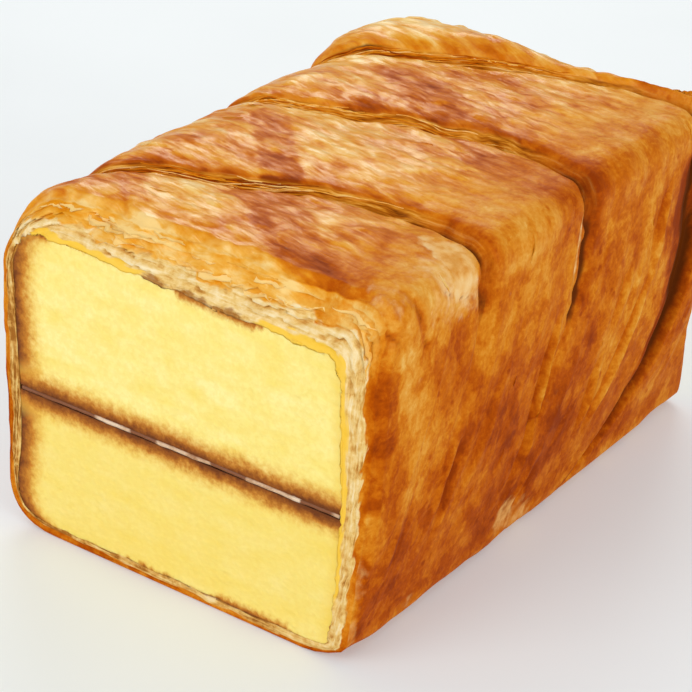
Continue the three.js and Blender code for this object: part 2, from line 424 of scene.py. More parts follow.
Y = np.array(rows_y)
H = np.array(rows_h)
W = np.array(rows_w)
# the groove field is painted shade: it darkens the bottoms of the slashes, the cracks and the gap of the third slash
GROOVE_SHADE = np.array(rows_groove) * np.maximum(TOP, 0.9 * SIDE)
DEEP = np.maximum.reduce([smooth(0.5, 1.6, slash_depth(k))[None] * (np.abs(Y - LINES[k + 1]) < 8) for k in range(3)])
GROOVE_SHADE = GROOVE_SHADE * DEEP * np.where(X < 0, mix(0.55, 1.0, TOP), 1.0)
WALLS = np.array(rows_wall) * DEEP * mix(1.0, 0.3, smooth(22, 42, X))
R_OUT = len(Y)
SS = np.broadcast_to(ARC, Y.shape)
PX, PZ = np.broadcast_to(X, Y.shape), np.broadcast_to(Z, Y.shape)
TOPS, SIDES = np.broadcast_to(TOP, Y.shape), np.broadcast_to(SIDE, Y.shape)
# the grain of the sheet: along s round the loaf, and across it by g, which leans on the sides
G = Y + 0.18 * np.clip(PX, -40, 46) + np.where(PX > 0, 36 * DOWN ** 1.6, 34 * DOWN ** 1.3)


def along(u, v, u0, v0, u1, v1):
    """Distance from a short straight line, and how far along it, in any two coordinates."""
    du, dv = u1 - u0, v1 - v0
    n2 = du * du + dv * dv
    t = np.clip(((u - u0) * du + (v - v0) * dv) / n2, 0, 1)
    return np.hypot(u - u0 - t * du, v - v0 - t * dv), t


# the skin is crossed by leaf edges: steps that face the front, long along the grain
bend = 3.0 * noise(SS / 28, G / 26, seed=21) + 1.1 * noise(SS / 11, G / 12, seed=20)
GW = G + bend


def steps(period, mask_scale, seed, cover):
    phase = GW / period + 1.2 * noise(SS / 34, GW / 22, seed=seed) + 0.35 * noise(SS / 7, GW / 9, seed=seed + 1)
    part = phase - np.floor(phase)
    cell = np.floor(phase)
    there = smooth(-0.12, 0.30, noise(SS / mask_scale, cell * 3.7, seed=seed + 2) + cover)
    up = np.minimum(part / 0.10, 1.0)
    return there * (up * (1 - part) / 0.9), there * (1 - smooth(0.0, 0.35, part)), there * smooth(0.72, 1.0, part)


def puffs(ls, lg, seed):
    """Rounded crests with creases between them, 0 in a crease."""
    return np.minimum(1.0, np.abs(noise(SS / ls + 0.4 * noise(SS / 9, GW / 6, seed=seed + 1), GW / lg, seed=seed)) * 2.4)


big, big_edge, big_foot = steps(7.5, 9.0, 120, 0.02)
puff_a, puff_b = puffs(12.0, 6.0, 140), puffs(5.2, 2.7, 150)
broad = noise(SS / 30, G / 16, seed=24) * 0.8 + noise(SS / 15, G / 8, seed=25) * 0.45
fold = ridge(SS / 60, (G + bend) / 12, seed=26) ** 2
CALM = TOPS * mix(1.0, 0.2, smooth(26, 46, PX))  # the skin lies flatter over the right shoulder
H = H + mix(0.10 * SIDES, 0.34, CALM) * (big - 0.3)
H = H + mix(0.14 * SIDES, 0.32, CALM) * (puff_a - 0.45) + mix(0.06 * SIDES, 0.13, CALM) * (puff_b - 0.45)
H = H + mix(0.5 * SIDES, 0.75, TOPS) * broad
H = H + (1 - TOPS) * SIDES * (0.3 * fold - 0.1)
# small dents and blisters
H = H + mix(0.12 * SIDES, 0.12, TOPS) * fbm(SS / 6.0, G / 4.0, seed=37, octaves=2)
# pleats on the two sides, each a ridge with a crease behind it, and cracks: y0, z0, y1, z1, half width, height
# the pleat field is only colour: painted highlight on the ridges, and painted shade in the creases, the cracks and the
# gap of the third slash
pleat_shading = np.zeros_like(H)
RIGHT_PLEATS = [
    (50, 78, 46, 54, 1.7, 0.7), (46, 54, 23, 20, 1.5, 0.8), (-1.5, 60, -8.5, 25, 1.2, 1.0), (-42, 47, -49, 26, 1.6, -0.8), (24, 40, 18, 21, 1.3, 0.6),
    (-26, 54, -35, 34, 2.2, 0.35), (64, 46, 42, 14, 1.4, 0.5), (-60, 40, -66, 22, 1.8, -0.4), (34, 62, 26, 44, 1.6, 0.4), (-2, 20, -9, 8, 1.4, -0.5),
]
LEFT_PLEATS = [
    (33, 62, 24, 30, 1.8, 0.6), (-8, 58, -20, 24, 1.6, 0.7), (-38, 62, -47, 34, 1.6, -0.6), (60, 54, 52, 20, 1.7, 0.5),
    (10, 40, 2, 14, 1.4, -0.5), (-58, 46, -66, 18, 1.6, 0.5), (46, 34, 40, 12, 1.4, 0.5), (-28, 32, -34, 12, 1.5, 0.5),
]
for where, (y0, z0, y1, z1, hw, hh) in [(PX > 40, p) for p in RIGHT_PLEATS] + [(PX < -40, p) for p in LEFT_PLEATS]:
    shifted = Y + 1.6 * noise(SS / 14, G / 40, seed=38)
    d, t = along(shifted, PZ, y0, z0, y1, z1)
    side = np.sign((PZ - z0) * (y1 - y0) - (shifted - y0) * (z1 - z0))  # -1 in front of the line
    fade = np.sin(np.pi * np.clip(t * 0.84 + 0.08, 0, 1)) * where * (1 - TOPS)
    shape = np.exp(-(d / hw) ** 2) - 0.8 * np.exp(-((d - 1.5 * hw) / hw) ** 2) * (side * (1 if y1 < y0 else -1) < 0)
    H = H + 1.4 * hh * shape * fade
    pleat_shading = pleat_shading + 1.6 * hh * shape * fade
for y0, z0, y1, z1, hw, hh in [(-66.5, 92, -63, 82, 1.1, 0.9), (-63, 82, -60.7, 77, 1.1, 0.7), (-77, 90, -70, 80.5, 1.0, 0.7), (-36, 90, -40, 83, 0.7, 0.5), (-50, 86, -41, 82, 0.7, 0.5), (-57, 90, -50, 86, 0.7, 0.4)]:
    d, t = along(Y + 0.6 * noise(SS / 4, G / 9, seed=39), PZ, y0, z0, y1, z1)
    crack = np.exp(-(d / hw) ** 2) * np.sin(np.pi * np.clip(t * 0.9 + 0.05, 0, 1)) * (PX > 40)
    H = H - hh * crack
    pleat_shading = pleat_shading - 2.0 * crack
    # painted shade in the crack
    GROOVE_SHADE = np.maximum(GROOVE_SHADE, 0.5 * crack)
# the third slash gapes on the right side
past = Y - LINES[3] + 0.8 * noise(SS / 6, 0.3, seed=61)
gap = smooth(-0.8, 0.4, past) * smooth(5.6, 3.6, past) * (PX > 40) * smooth(74, 58, PZ) * smooth(5, 14, PZ) * mix(0.6, 1.0, smooth(18, 34, PZ))
H = mix(H, np.minimum(H, -3.2), gap)
pleat_shading = pleat_shading - 2.2 * gap
# painted shade down the gap
GROOVE_SHADE = np.maximum(GROOVE_SHADE, mix(0.7, 0.95, smooth(62, 50, PZ)) * gap)
# strands of the layers that show in the slash walls
H = H + 0.25 * WALLS * noise(SS / 14, W * 3.4, seed=28)
Y = Y + WALLS * 0.5 * noise(SS / 12, W * 3.1, seed=29)


# where the crust is browned, and the dark reflection bands painted on the top. Lines: two coordinates from and to, half
# width, strength, edge softness
def band(u, v, lines, mask, seed, torn=1.0):
    total = 0.0
    rough = torn * (0.30 * noise(SS / 5, G / 3.5, seed=seed) + 0.18 * noise(SS / 1.9, G / 1.6, seed=seed + 1))
    for u0, v0, u1, v1, hw, strength, soft in lines:
        d, _ = along(u, v, u0, v0, u1, v1)
        total = total + strength * (1 - smooth(1 - soft, 1 + soft, d / hw + rough))
    return total * mask


# the first four lines, which DULL repeats, are dark bands where the sheen breaks: part browner crust, part painted dark
# reflection. The others are browner and paler patches
TOP_TONE_AND_REFLECTION_LINES = [
    (-2, -44, 38, -77, 7.0, 0.21, 0.2), (26, -68, 40, -76, 5.0, 0.08, 0.5), (-28, -8, -3, -36, 5.0, 0.18, 0.2), (-20, 38, 6, 23, 6.0, 0.14, 0.25),
    (-37, -51, -19, -70, 3.2, 0.15, 0.25), (28, -50, 42, -47, 6.0, 0.08, 0.5), (-34, -31, -10, -31, 4.0, 0.12, 0.5),
    (30, 4, 50, 2, 7.0, 0.12, 0.5), (-42, 22, -20, 34, 5.0, 0.08, 0.5), (2, 44, 30, 52, 5.0, 0.08, 0.5),
    (-44, -77, 30, -77, 4.6, -0.22, 0.4), (14, -60, 20, -52, 4.5, -0.10, 0.5), (-22, -60, -2, -56, 5.0, -0.12, 0.5),
    (-6, -14, 24, -10, 7.0, -0.10, 0.6), (20, -26, 40, -24, 6.0, -0.06, 0.6), (46, -44, 54, -50, 9.0, -0.16, 0.6), (49, -58, 52, -72, 6.0, -0.12, 0.6),
]
BARE_LINES = [(46, -42, 54, -44, 4.8, 0.95, 0.35), (55, -52, 57, -58, 3.0, 0.5, 0.8), (50, -50, 51, -71, 4.2, 0.42, 0.7)]
RIGHT_LINES = [
    (-75.8, 84, -74.6, 60, 3.7, 0.20, 0.2), (-74.6, 60, -77, 44, 2.6, 0.14, 0.25), (-79, 40, -79, 4, 2.4, -0.24, 0.5), (-65, 88, -67, 62, 6.5, -0.12, 0.5),
    (-43, 46, -50, 28, 4.0, 0.12, 0.5), (2, 28, -4, 17, 5.0, 0.12, 0.5), (8, 60, 12, 44, 4.5, 0.12, 0.5), (-34, 80, -30, 66, 8.0, -0.07, 0.8), (-13, 78, -15, 62, 6.0, -0.08, 0.7),
    (24, 56, 14, 34, 5.0, 0.06, 0.7), (44, 76, 34, 46, 4.0, -0.06, 0.6), (-66, 30, -60, 14, 5.0, 0.08, 0.6), (-24, 40, -30, 24, 6.0, 0.07, 0.6), (-56, 52, -62, 40, 4.5, -0.06, 0.7),
    (-76, 3, 76, 3, 2.4, -0.10, 0.7), (2, 14, 30, 8, 4.0, -0.06, 0.7),
]
RIGHT_BARE = [(-58, 5, -53, 5, 2.0, 0.4, 0.8), (-12.5, 8.0, -3.0, 3.5, 5.2, 0.72, 0.7), (-79, 30, -78, 4, 2.4, 0.5, 0.7), (6.8, 86, 3.6, 64, 0.8, 0.75, 0.7)]
bare = np.clip(
    band(PX, Y, BARE_LINES, TOPS, 55, 1.8) + band(Y, PZ, RIGHT_BARE, (PX > 40) * 1.0, 57, 1.8)
    + band(Y, PZ, [(20, 50, 27, 46, 2.6, 0.45, 0.9), (-40, 22, -32, 20, 2.4, 0.4, 0.9)], (PX < -40) * 1.0, 59, 2.2), 0, 1)
H = H - 0.45 * bare
# the lower edge of the right side is a little uneven
ragged_foot = 1.3 * np.maximum(0, noise(Y / 11, 0.4, seed=58) + 0.15) * smooth(9, 0.5, PZ) * smooth(38, 46, PX)
ragged_foot = ragged_foot + 2.6 * smooth(-64, -79, Y) * smooth(38, 50, PX) * smooth(9, 0.5, PZ)
OUTER = np.stack([X + NORMAL[:, 0] * H, Y, np.maximum(0.0, Z + NORMAL[:, 1] * H + ragged_foot)], -1)

brown = (
    mix(0.675, 0.43, TOPS) - 0.24 * (1 - TOPS) * smooth(-44, -64, Y) * smooth(26, 66, PZ) + 0.05 * (1 - TOPS) * smooth(-40, -24, Y) * smooth(4, -10, Y) + 0.03 * (1 - TOPS) * smooth(60, 20, PZ)
    - 0.09 * (1 - TOPS) * smooth(2, 24, Y)
    + 0.13 * noise(SS / 30, G / 22, seed=31)
    + 0.09 * noise(SS / 12, G / 9, seed=32)
    + mix(0.12, 1.0, CALM) * (0.12 * big_foot - 0.09 * big_edge)
    # painted shade in the creases between the puffs, with paler crests
    + mix(0.12, 1.0, CALM) * (0.10 * (0.45 - puff_a) + 0.07 * (0.45 - puff_b))
    + TOPS * (0.05 * smooth(10, 34, PX) - 0.04 * smooth(10, -34, PX) - 0.08 * smooth(-4, -34, PX) * smooth(-20, 30, Y))
    # painted light: fold ridges paler as a painted highlight, the pleat field's painted highlight and shade, and the
    # rear pillow of the top paler as a painted sheen
    - 0.02 * (1 - TOPS) * (fold - 0.3) - 0.14 * pleat_shading - 0.09 * TOPS * smooth(46, 62, Y)
)
lip_shade_band, recess_shade = np.zeros_like(H), np.zeros_like(H)
for k in range(3):
    gap = Y - LINES[k + 1]
    # the lip behind each slash on top is browner: part real browning, part painted shade where the lip catches no sheen
    lip_shade_band = np.maximum(lip_shade_band, (1.0, 1.0, 0.35)[k] * np.exp(-np.maximum(gap - 4.0, 0) / 3.2) * (gap > 0.4))
    # painted shade in the recess just behind each slash on the sides, and down the front slope of the third slash
    recess_shade = np.maximum(recess_shade, np.exp(-np.maximum(gap, 0) / 4.0) * (gap > 0) * smooth(0.3, 2.4, slash_depth(k)))
    if k == 2:
        recess_shade = np.maximum(recess_shade, 1.3 * smooth(-1.05, -0.6, gap / (1.5 + 10 * smooth(6, 56, PZ))) * (gap <= 0) * (PX > 0))
brown = brown + 0.34 * lip_shade_band * TOPS * (0.85 + 0.7 * noise(SS / 12, G / 20, seed=34)) + 0.34 * recess_shade * (1 - TOPS)
brown = brown + band(PX, Y, TOP_TONE_AND_REFLECTION_LINES, TOPS, 51, 0.7) + band(Y, PZ, RIGHT_LINES, (PX > 40) * (1 - TOPS), 53)
edge_fade = np.minimum(smooth(0, 6, Y - LINES[0]), smooth(0, 6, LINES[4] - Y))
brown = brown - 0.06 * (1 - edge_fade) * TOPS
brown = brown - 0.08 * (1 - smooth(0.0, 5.0, OUTER[..., 2]))
# the egg wash gives most gloss over the left and the middle of the top
GLOSS = mix(0.0, mix(0.57, 0.10, smooth(8, 42, X)), smooth(0.3, 1.0, TOP))
DULL = np.clip(band(PX, Y, [(-2, -44, 38, -77, 7.0, 1.0, 0.2), (-28, -8, -3, -36, 5.0, 1.0, 0.2), (-20, 38, 6, 23, 6.0, 1.0, 0.25), (-37, -51, -19, -70, 3.2, 1.0, 0.25)], TOPS, 51, 0.7), 0, 1)


# the cut ends: the crust bends over the rim on top, then puffed leaves go in to the sponge
def end_rows(edge, y, seed, sign):
    inner = np.stack([BORE[:, 0], np.full(N_U, y), BORE[:, 1]], -1)
    made, depth_mm, r_of, leaf_of, yolk_of, burn_of = [], [], [], [], [], []
    thick = np.linalg.norm((edge - inner)[:, [0, 2]], axis=1)
    xs = X * -sign  # the back end is the front one seen from behind
    shade = (1 - TOP) * np.where(xs < 0, 0.55, mix(0.16, 0.0, smooth(20, 70, Z)))
    yolk_run = np.maximum(smooth(-44, -38, xs) * smooth(1, -6, xs), smooth(27, 33, xs)) * TOP + 0.8 * (1 - TOP) * (xs > 0) * SIDE
    into = -outward(outline(CORE, Q))
    hang = np.maximum(0, mix(np.where(Z < 6, 0.5, 0.35), 0.75, TOP) + mix(0.6, 1.1, TOP) * noise(ARC / 6, 0.2, seed=seed + 20) + 0.6 * noise(ARC / 1.8, 0.2, seed=seed + 21))
    hang = hang * np.where((xs < 0) & (Z > 8) & (TOP < 0.5), 0.4, 1.0)
    low = smooth(8, 4, Z)
    burnt = (smooth(-7, 2, xs) * smooth(30, 22, xs) + 0.4 * smooth(-30, -44, xs)) * TOP + low * (smooth(4, 14, xs) * smooth(40, 32, xs) + 0.5 * smooth(-34, -20, xs) * smooth(8, -4, xs))
    burnt = np.clip(burnt * (0.9 + 1.1 * noise(ARC / 3.0, 0.4, seed=seed + 22)), 0, 1)
    for n in range(1, END + 2):
        r = max(0.0, 1 - n / END)
        p = inner + (edge - inner) * r
        over = float(smooth(0.16, 0.0, r)) if n <= END else 0.0
        p[:, 0] += into[:, 0] * hang * over
        p[:, 2] += into[:, 1] * hang * over
        p[:, 1] = y + (edge[:, 1] - y) * r ** 1.35 + sign * (0.09 * over * smooth(0.0, 0.5, hang) + 0.02)
        d = (1 - r) * thick
        sway = 1.8 * noise(ARC / 19, d / 9, seed=seed + 3) + 0.7 * noise(ARC / 7, d / 5, seed=seed + 4)
        phase = (d + sway) / mix(1.5, 2.5, TOP) + 0.25 * noise(ARC / 3.2, d / 3, seed=seed + 15)
        part, which = phase - np.floor(phase), np.floor(phase)
        there = smooth(-0.25, 0.2, noise(ARC / 10, which * 3.7, seed=seed + 14))
        leaf = mix(0.5, part ** 0.8, 0.25 + 0.75 * there)  # each leaf stands out to its free edge
        torn = noise(ARC / 7, d / 2.6, seed=seed + 1)
        inside = math.sin(math.pi * min(1.0, r * 1.02)) ** 0.5 if r > 0 else 0.0
        puff = (mix(np.where(xs > 0, 0.5, 1.5), 1.5, TOP) * (leaf - 0.5) + 1.0 * torn) * mix(np.where(xs > 0, 0.62, 0.40), 1.0, TOP) * inside * smooth(0.6, 3.0, thick)
        puff = puff + 0.35 * inside * noise(ARC / 2.6, d / 1.3, seed=seed + 12) * smooth(0.6, 3.0, thick)
        p[:, 1] += sign * puff
        p[:, 0] += 0.3 * inside * noise(ARC / 4, d / 2, seed=seed + 5)
        p[:, 2] = np.maximum(0, p[:, 2] + 0.3 * inside * SIDE * noise(ARC / 4, d / 2, seed=seed + 6))
        made.append(p)
        depth_mm.append(d)
        limit = mix(mix(0.15, np.where(xs < 0, 0.66, mix(0.60, 0.68, smooth(14, 40, Z))), smooth(1.8, 4.2, thick)), 0.48, TOP) + 0.16 * noise(ARC / 11, 0.3, seed=seed + 8) * np.maximum(TOP, xs > 0)
        ragged = 0.16 * noise(ARC / 4.5, d / 3, seed=seed + 9) + 0.10 * noise(ARC / 1.9, d / 1.5, seed=seed + 10)
        scorch = burnt * (1 - smooth(0.02, 0.20, r + 0.08 * noise(ARC / 2, d, seed=seed + 23)))
        r_of.append(smooth(limit - 0.10, limit + 0.10, r + ragged * mix(np.where(xs > 0, 1.3, 0.8), 1.0, TOP)))
        burn_of.append(scorch)
        leaf_of.append(mix(np.where(xs > 0, mix(0.5, leaf, 0.4), leaf), leaf, TOP) + 0.30 * torn - shade)
        yolk_of.append(yolk_run * (1 - smooth(0.06, 0.24, r + 0.10 * noise(ARC / 4, d, seed=seed + 11))))
    return made, depth_mm, r_of, leaf_of, yolk_of, burn_of


front, front_d, front_r, front_l, front_y, front_b = end_rows(OUTER[0], -HALF, 41, -1.0)
rear, rear_d, rear_r, rear_l, rear_y, rear_b = end_rows(OUTER[-1], HALF, 47, 1.0)
through = [np.stack([BORE[:, 0], np.full(N_U, y), BORE[:, 1]], -1) for y in (HALF * 0.5, -HALF * 0.5)]
all_rows = list(OUTER) + rear + through + front[::-1]
R_ALL = len(all_rows)
verts = np.concatenate(all_rows)

pad = R_ALL - R_OUT
END_BROWN = mix(mix(0.44, np.where(X > 0, 0.48, 0.46), SIDE), 0.30, TOP) + 0.10 * noise(ARC / 6, 0.7, seed=71) + 0.06 * noise(ARC / 2.2, 0.7, seed=72)
flat = lambda a, fill: np.concatenate([np.asarray(a).reshape(-1), np.full(pad * N_U, fill)])
ends = lambda a, b, outside, inside: np.concatenate(
    [np.full(R_OUT * N_U, outside), np.concatenate(b), np.full(2 * N_U, inside), np.concatenate(a[::-1])])
cut = np.concatenate([np.zeros(R_OUT * N_U), np.ones(pad * N_U)])


def end_tone(leafs, edge_brown):
    made = []
    for n, l in enumerate(leafs, 1):
        t = mix(float(smooth(0.0, 0.35, n / END)), 1.0, TOP)
        # each leaf is darker towards its root: painted shade in the recess there
        made.append(mix(edge_brown, END_BROWN + 0.26 * (0.55 - l) * mix(0.6, 1.0, TOP), t))
    return made


grain_y = np.concatenate([G.reshape(-1)] + [G[-1] + d for d in rear_d] + [G[-1] + 9, G[0] - 9] + [G[0] - d for d in front_d[::-1]])
sw = np.stack([np.tile(ARC, R_ALL), grain_y, ends(front_d, rear_d, 0.0, 9.0)], -1)
lw = np.stack([np.tile(ARC, R_ALL), np.concatenate([W.reshape(-1), np.tile(W[-1], END + 2), np.tile(W[0], END + 2)]), np.zeros(R_ALL * N_U)], -1)

pastry = make_mesh(
    "pastry_wrap_crust", verts, grid_quads(R_ALL, N_U, True, True),
    {
        "brown": np.concatenate([brown.reshape(-1)] + end_tone(rear_l, brown[-1]) + [END_BROWN, END_BROWN] + end_tone(front_l, brown[0])[::-1]), "groove_shade": flat(GROOVE_SHADE, 0.0), "wall": flat(np.clip(WALLS, 0, 1), 0.0), "bare": flat(bare, 0.0),
        "cut": cut, "edge": ends(front_r, rear_r, 1.0, 0.0), "leaf": ends(front_l, rear_l, 0.5, 0.5),
        "yolk": ends(front_y, rear_y, 0.0, 0.0), "burn": ends(front_b, rear_b, 0.0, 0.0), "gloss": np.concatenate([(GLOSS * (1 - 0.3 * DULL)).reshape(-1), np.tile(GLOSS, pad)]),
        "sw": sw, "lw": lw, "topness": np.tile(TOP * mix(1.0, 0.15, smooth(26, 48, X)), R_ALL),
    },
)


# ------------------------------------------------------------------ pastry: loose leaves
ROW_W = W.mean(1) + np.arange(R_OUT) * 1e-6
GRID_N = np.cross(np.gradient(OUTER, axis=0), np.gradient(OUTER, axis=1))
GRID_N = GRID_N / np.maximum(np.linalg.norm(GRID_N, axis=-1, keepdims=True), 1e-9)


def sample(field, s, w):
    """A field of the outer surface at s along the slashes and w across them."""
    i = np.clip(np.interp(s, ARC, np.arange(N_U)), 0, N_U - 1.001)
    j = np.clip(np.interp(w, ROW_W, np.arange(R_OUT)), 0, R_OUT - 1.001)
    i0, j0 = np.floor(i).astype(int), np.floor(j).astype(int)
    fi, fj = i - i0, j - j0
    if field.ndim == 3:
        fi, fj = fi[..., None], fj[..., None]
    return (
        field[j0, i0] * (1 - fi) * (1 - fj) + field[j0, i0 + 1] * fi * (1 - fj)
        + field[j0 + 1, i0] * (1 - fi) * fj + field[j0 + 1, i0 + 1] * fi * fj
    )


def leaves(rng, count, s_range, w_range, length, width, lift, na=15, nb=5, sense=None, free=False):
    """Thin leaves of pastry that lie along the grain with one long edge standing free."""
    keys = ("brown", "groove_shade", "wall", "bare", "cut", "edge", "leaf", "topness", "yolk", "burn", "gloss")
    vs, fs, at, n0 = [], [], {k: [] for k in keys + ("sw", "lw")}, 0
    A, B = np.meshgrid(np.linspace(-1, 1, na), np.linspace(0, 1, nb), indexing="ij")
    top_q = grid_quads(na, nb)
    m = na * nb
    rim = np.concatenate([
        np.arange(nb), np.arange(1, na) * nb + nb - 1,
        (na - 1) * nb + np.arange(nb - 2, -1, -1), np.arange(na - 2, 0, -1) * nb])
    nxt = np.roll(rim, -1)
    made = tries = 0
    while made < count and tries < count * 12:
        tries += 1
        s0, w0 = rng.uniform(*s_range), rng.uniform(*w_range)
        ln, wd, lf = rng.uniform(*length), rng.uniform(*width), rng.uniform(*lift)
        seed = rng.randint(1, 900)
        way = sense or (-1 if rng.rand() < 0.8 else 1)
        taper = np.maximum(0.05, 1 - np.abs(A) ** 2.0) ** 0.8
        ragged = 1 + 0.5 * noise(A * ln / 5.0, 0.5, seed=seed) + 0.35 * noise(A * ln / 1.5, 0.2, seed=seed + 1)
        s = s0 + A * ln / 2
        w = w0 + rng.uniform(-0.2, 0.1) * A * ln / 2 + 0.9 * noise(A * ln / 9, 0.9, seed=seed + 2) + way * B * wd * taper * ragged
        # a leaf stays on one pillow
        if not free and any(w.min() - 2.2 < line < w.max() + 3.0 for line in NOMINAL):
            continue
        base, nrm = sample(OUTER, s, w), sample(GRID_N, s, w)
        curl = lf * B ** 1.6 * (0.5 + 0.7 * np.maximum(0, noise(A * ln / 5, 0.4, seed=seed + 3) + 0.4)) * taper
        top = base + nrm * (0.08 + curl - 0.40 * (1 - B) ** 2 - 0.30 * (1 - taper))[..., None]
        vs.append(np.concatenate([top.reshape(-1, 3), (top - nrm * 0.15).reshape(-1, 3)]))
        fs.append(np.concatenate([top_q + n0, top_q[:, ::-1] + n0 + m, np.stack([rim, nxt, nxt + m, rim + m], -1)[:, ::-1] + n0]))
        n0 += 2 * m
        tone = sample(brown, s, w).reshape(-1) + rng.normal(0, 0.05) + (0.10 * (B - 0.3) * rng.choice([-1, 1])).reshape(-1)
        at["brown"] += [tone, tone - 0.1]
        for key in ("groove_shade", "wall", "bare", "cut", "yolk", "burn"):
            at[key] += [np.zeros(2 * m)]
        at["edge"] += [np.ones(2 * m)]
        at["leaf"] += [np.full(2 * m, 0.5)]
        coords = np.stack([s + rng.uniform(0, 40), w + rng.uniform(0, 40), np.zeros_like(s)], -1).reshape(-1, 3)
        at["sw"] += [coords, coords]
        at["lw"] += [coords, coords]
        tp = np.interp(s, ARC, TOP).reshape(-1)
        at["topness"] += [tp, tp]
        gl = np.interp(s, ARC, GLOSS).reshape(-1)
        at["gloss"] += [gl, gl]
        made += 1
    return np.concatenate(vs), np.concatenate(fs), {k: np.concatenate(v) for k, v in at.items()}


def rim_flakes(rng, cap, facing, count, length, width, lift, na=13, nb=5):
    """Torn leaves that hang from the rim of a cut end, over the layers below."""
    grid = np.array(cap)
    nrm_grid = np.cross(np.gradient(grid, axis=0), np.gradient(grid, axis=1))
    nrm_grid = nrm_grid / np.maximum(np.linalg.norm(nrm_grid, axis=-1, keepdims=True), 1e-9)
    nrm_grid = nrm_grid * np.where((nrm_grid @ np.array(facing))[..., None] < 0, -1, 1)
    rows = len(grid) - 1

    def at_cap(field, s, r):
        i = np.clip(np.interp(s, ARC, np.arange(N_U)), 0, N_U - 1.001)
        j = np.clip(r * rows, 0, rows - 0.001)
        i0, j0 = np.floor(i).astype(int), np.floor(j).astype(int)
        fi, fj = (i - i0)[..., None], (j - j0)[..., None]
        return (field[j0, i0] * (1 - fi) + field[j0, i0 + 1] * fi) * (1 - fj) + (field[j0 + 1, i0] * (1 - fi) + field[j0 + 1, i0 + 1] * fi) * fj

    A, B = np.meshgrid(np.linspace(-1, 1, na), np.linspace(0, 1, nb), indexing="ij")
    quads = grid_quads(na, nb)
    m = na * nb
    rim = np.concatenate([
        np.arange(nb), np.arange(1, na) * nb + nb - 1,
        (na - 1) * nb + np.arange(nb - 2, -1, -1), np.arange(na - 2, 0, -1) * nb])
    nxt = np.roll(rim, -1)
    vs, fs, at, n0 = [], [], {}, 0
    span = ARC[TOP > 0.5]
    for _ in range(count):
        ln, wd, lf = rng.uniform(*length), rng.uniform(*width), rng.uniform(*lift)
        s0, r0 = rng.uniform(span.min() + 3, span.max() - 3), rng.uniform(0.02, 0.55) ** 1.2
        seed = rng.randint(1, 900)
        ragged = 1 + 0.6 * noise(A * ln / 4.0, 0.5, seed=seed) + 0.4 * noise(A * ln / 1.5, 0.2, seed=seed + 1)
        taper = np.maximum(0.08, 1 - np.abs(A) ** 3) ** 0.7
        s = s0 + A * ln / 2 + 0.8 * noise(B * 2, A, seed=seed + 2)
        r = np.clip(r0 + 0.05 * noise(A * ln / 6, 0.1, seed=seed + 3) + B * wd * taper * ragged, 0, 0.97)
        lie = 0.03 + lf * B ** 1.5 * (0.4 + 0.9 * np.maximum(0, noise(A * ln / 5, 0.4, seed=seed + 4) + 0.35)) - 0.5 * (1 - B) ** 3 - 0.35 * (1 - taper)
        top = at_cap(grid, s, r) + at_cap(nrm_grid, s, r) * lie[..., None]
        vs.append(np.concatenate([top.reshape(-1, 3), (top - at_cap(nrm_grid, s, r) * 0.12).reshape(-1, 3)]))
        fs.append(np.concatenate([quads + n0, quads[:, ::-1] + n0 + m, np.stack([rim, nxt, nxt + m, rim + m], -1)[:, ::-1] + n0]))
        n0 += 2 * m
        tone = rng.choice([0.04, 0.10, 0.18, 0.28, 0.38]) + rng.normal(0, 0.03) - 0.08 * B.reshape(-1)
        coords = np.stack([s + rng.uniform(0, 40), r * 9 + rng.uniform(0, 40), np.zeros_like(s)], -1).reshape(-1, 3)
        one = {"brown": tone, "sw": coords, "lw": coords, "topness": np.ones(m), "edge": np.ones(m), "leaf": np.full(m, 0.5), "gloss": np.full(m, 0.05)}
        for key in ("groove_shade", "wall", "bare", "cut", "yolk", "burn"):
            one[key] = np.zeros(m)
        for key, x in one.items():
            at.setdefault(key, []).append(np.concatenate([x, x]))
    return np.concatenate(vs), np.concatenate(fs), {k: np.concatenate(v) for k, v in at.items()}


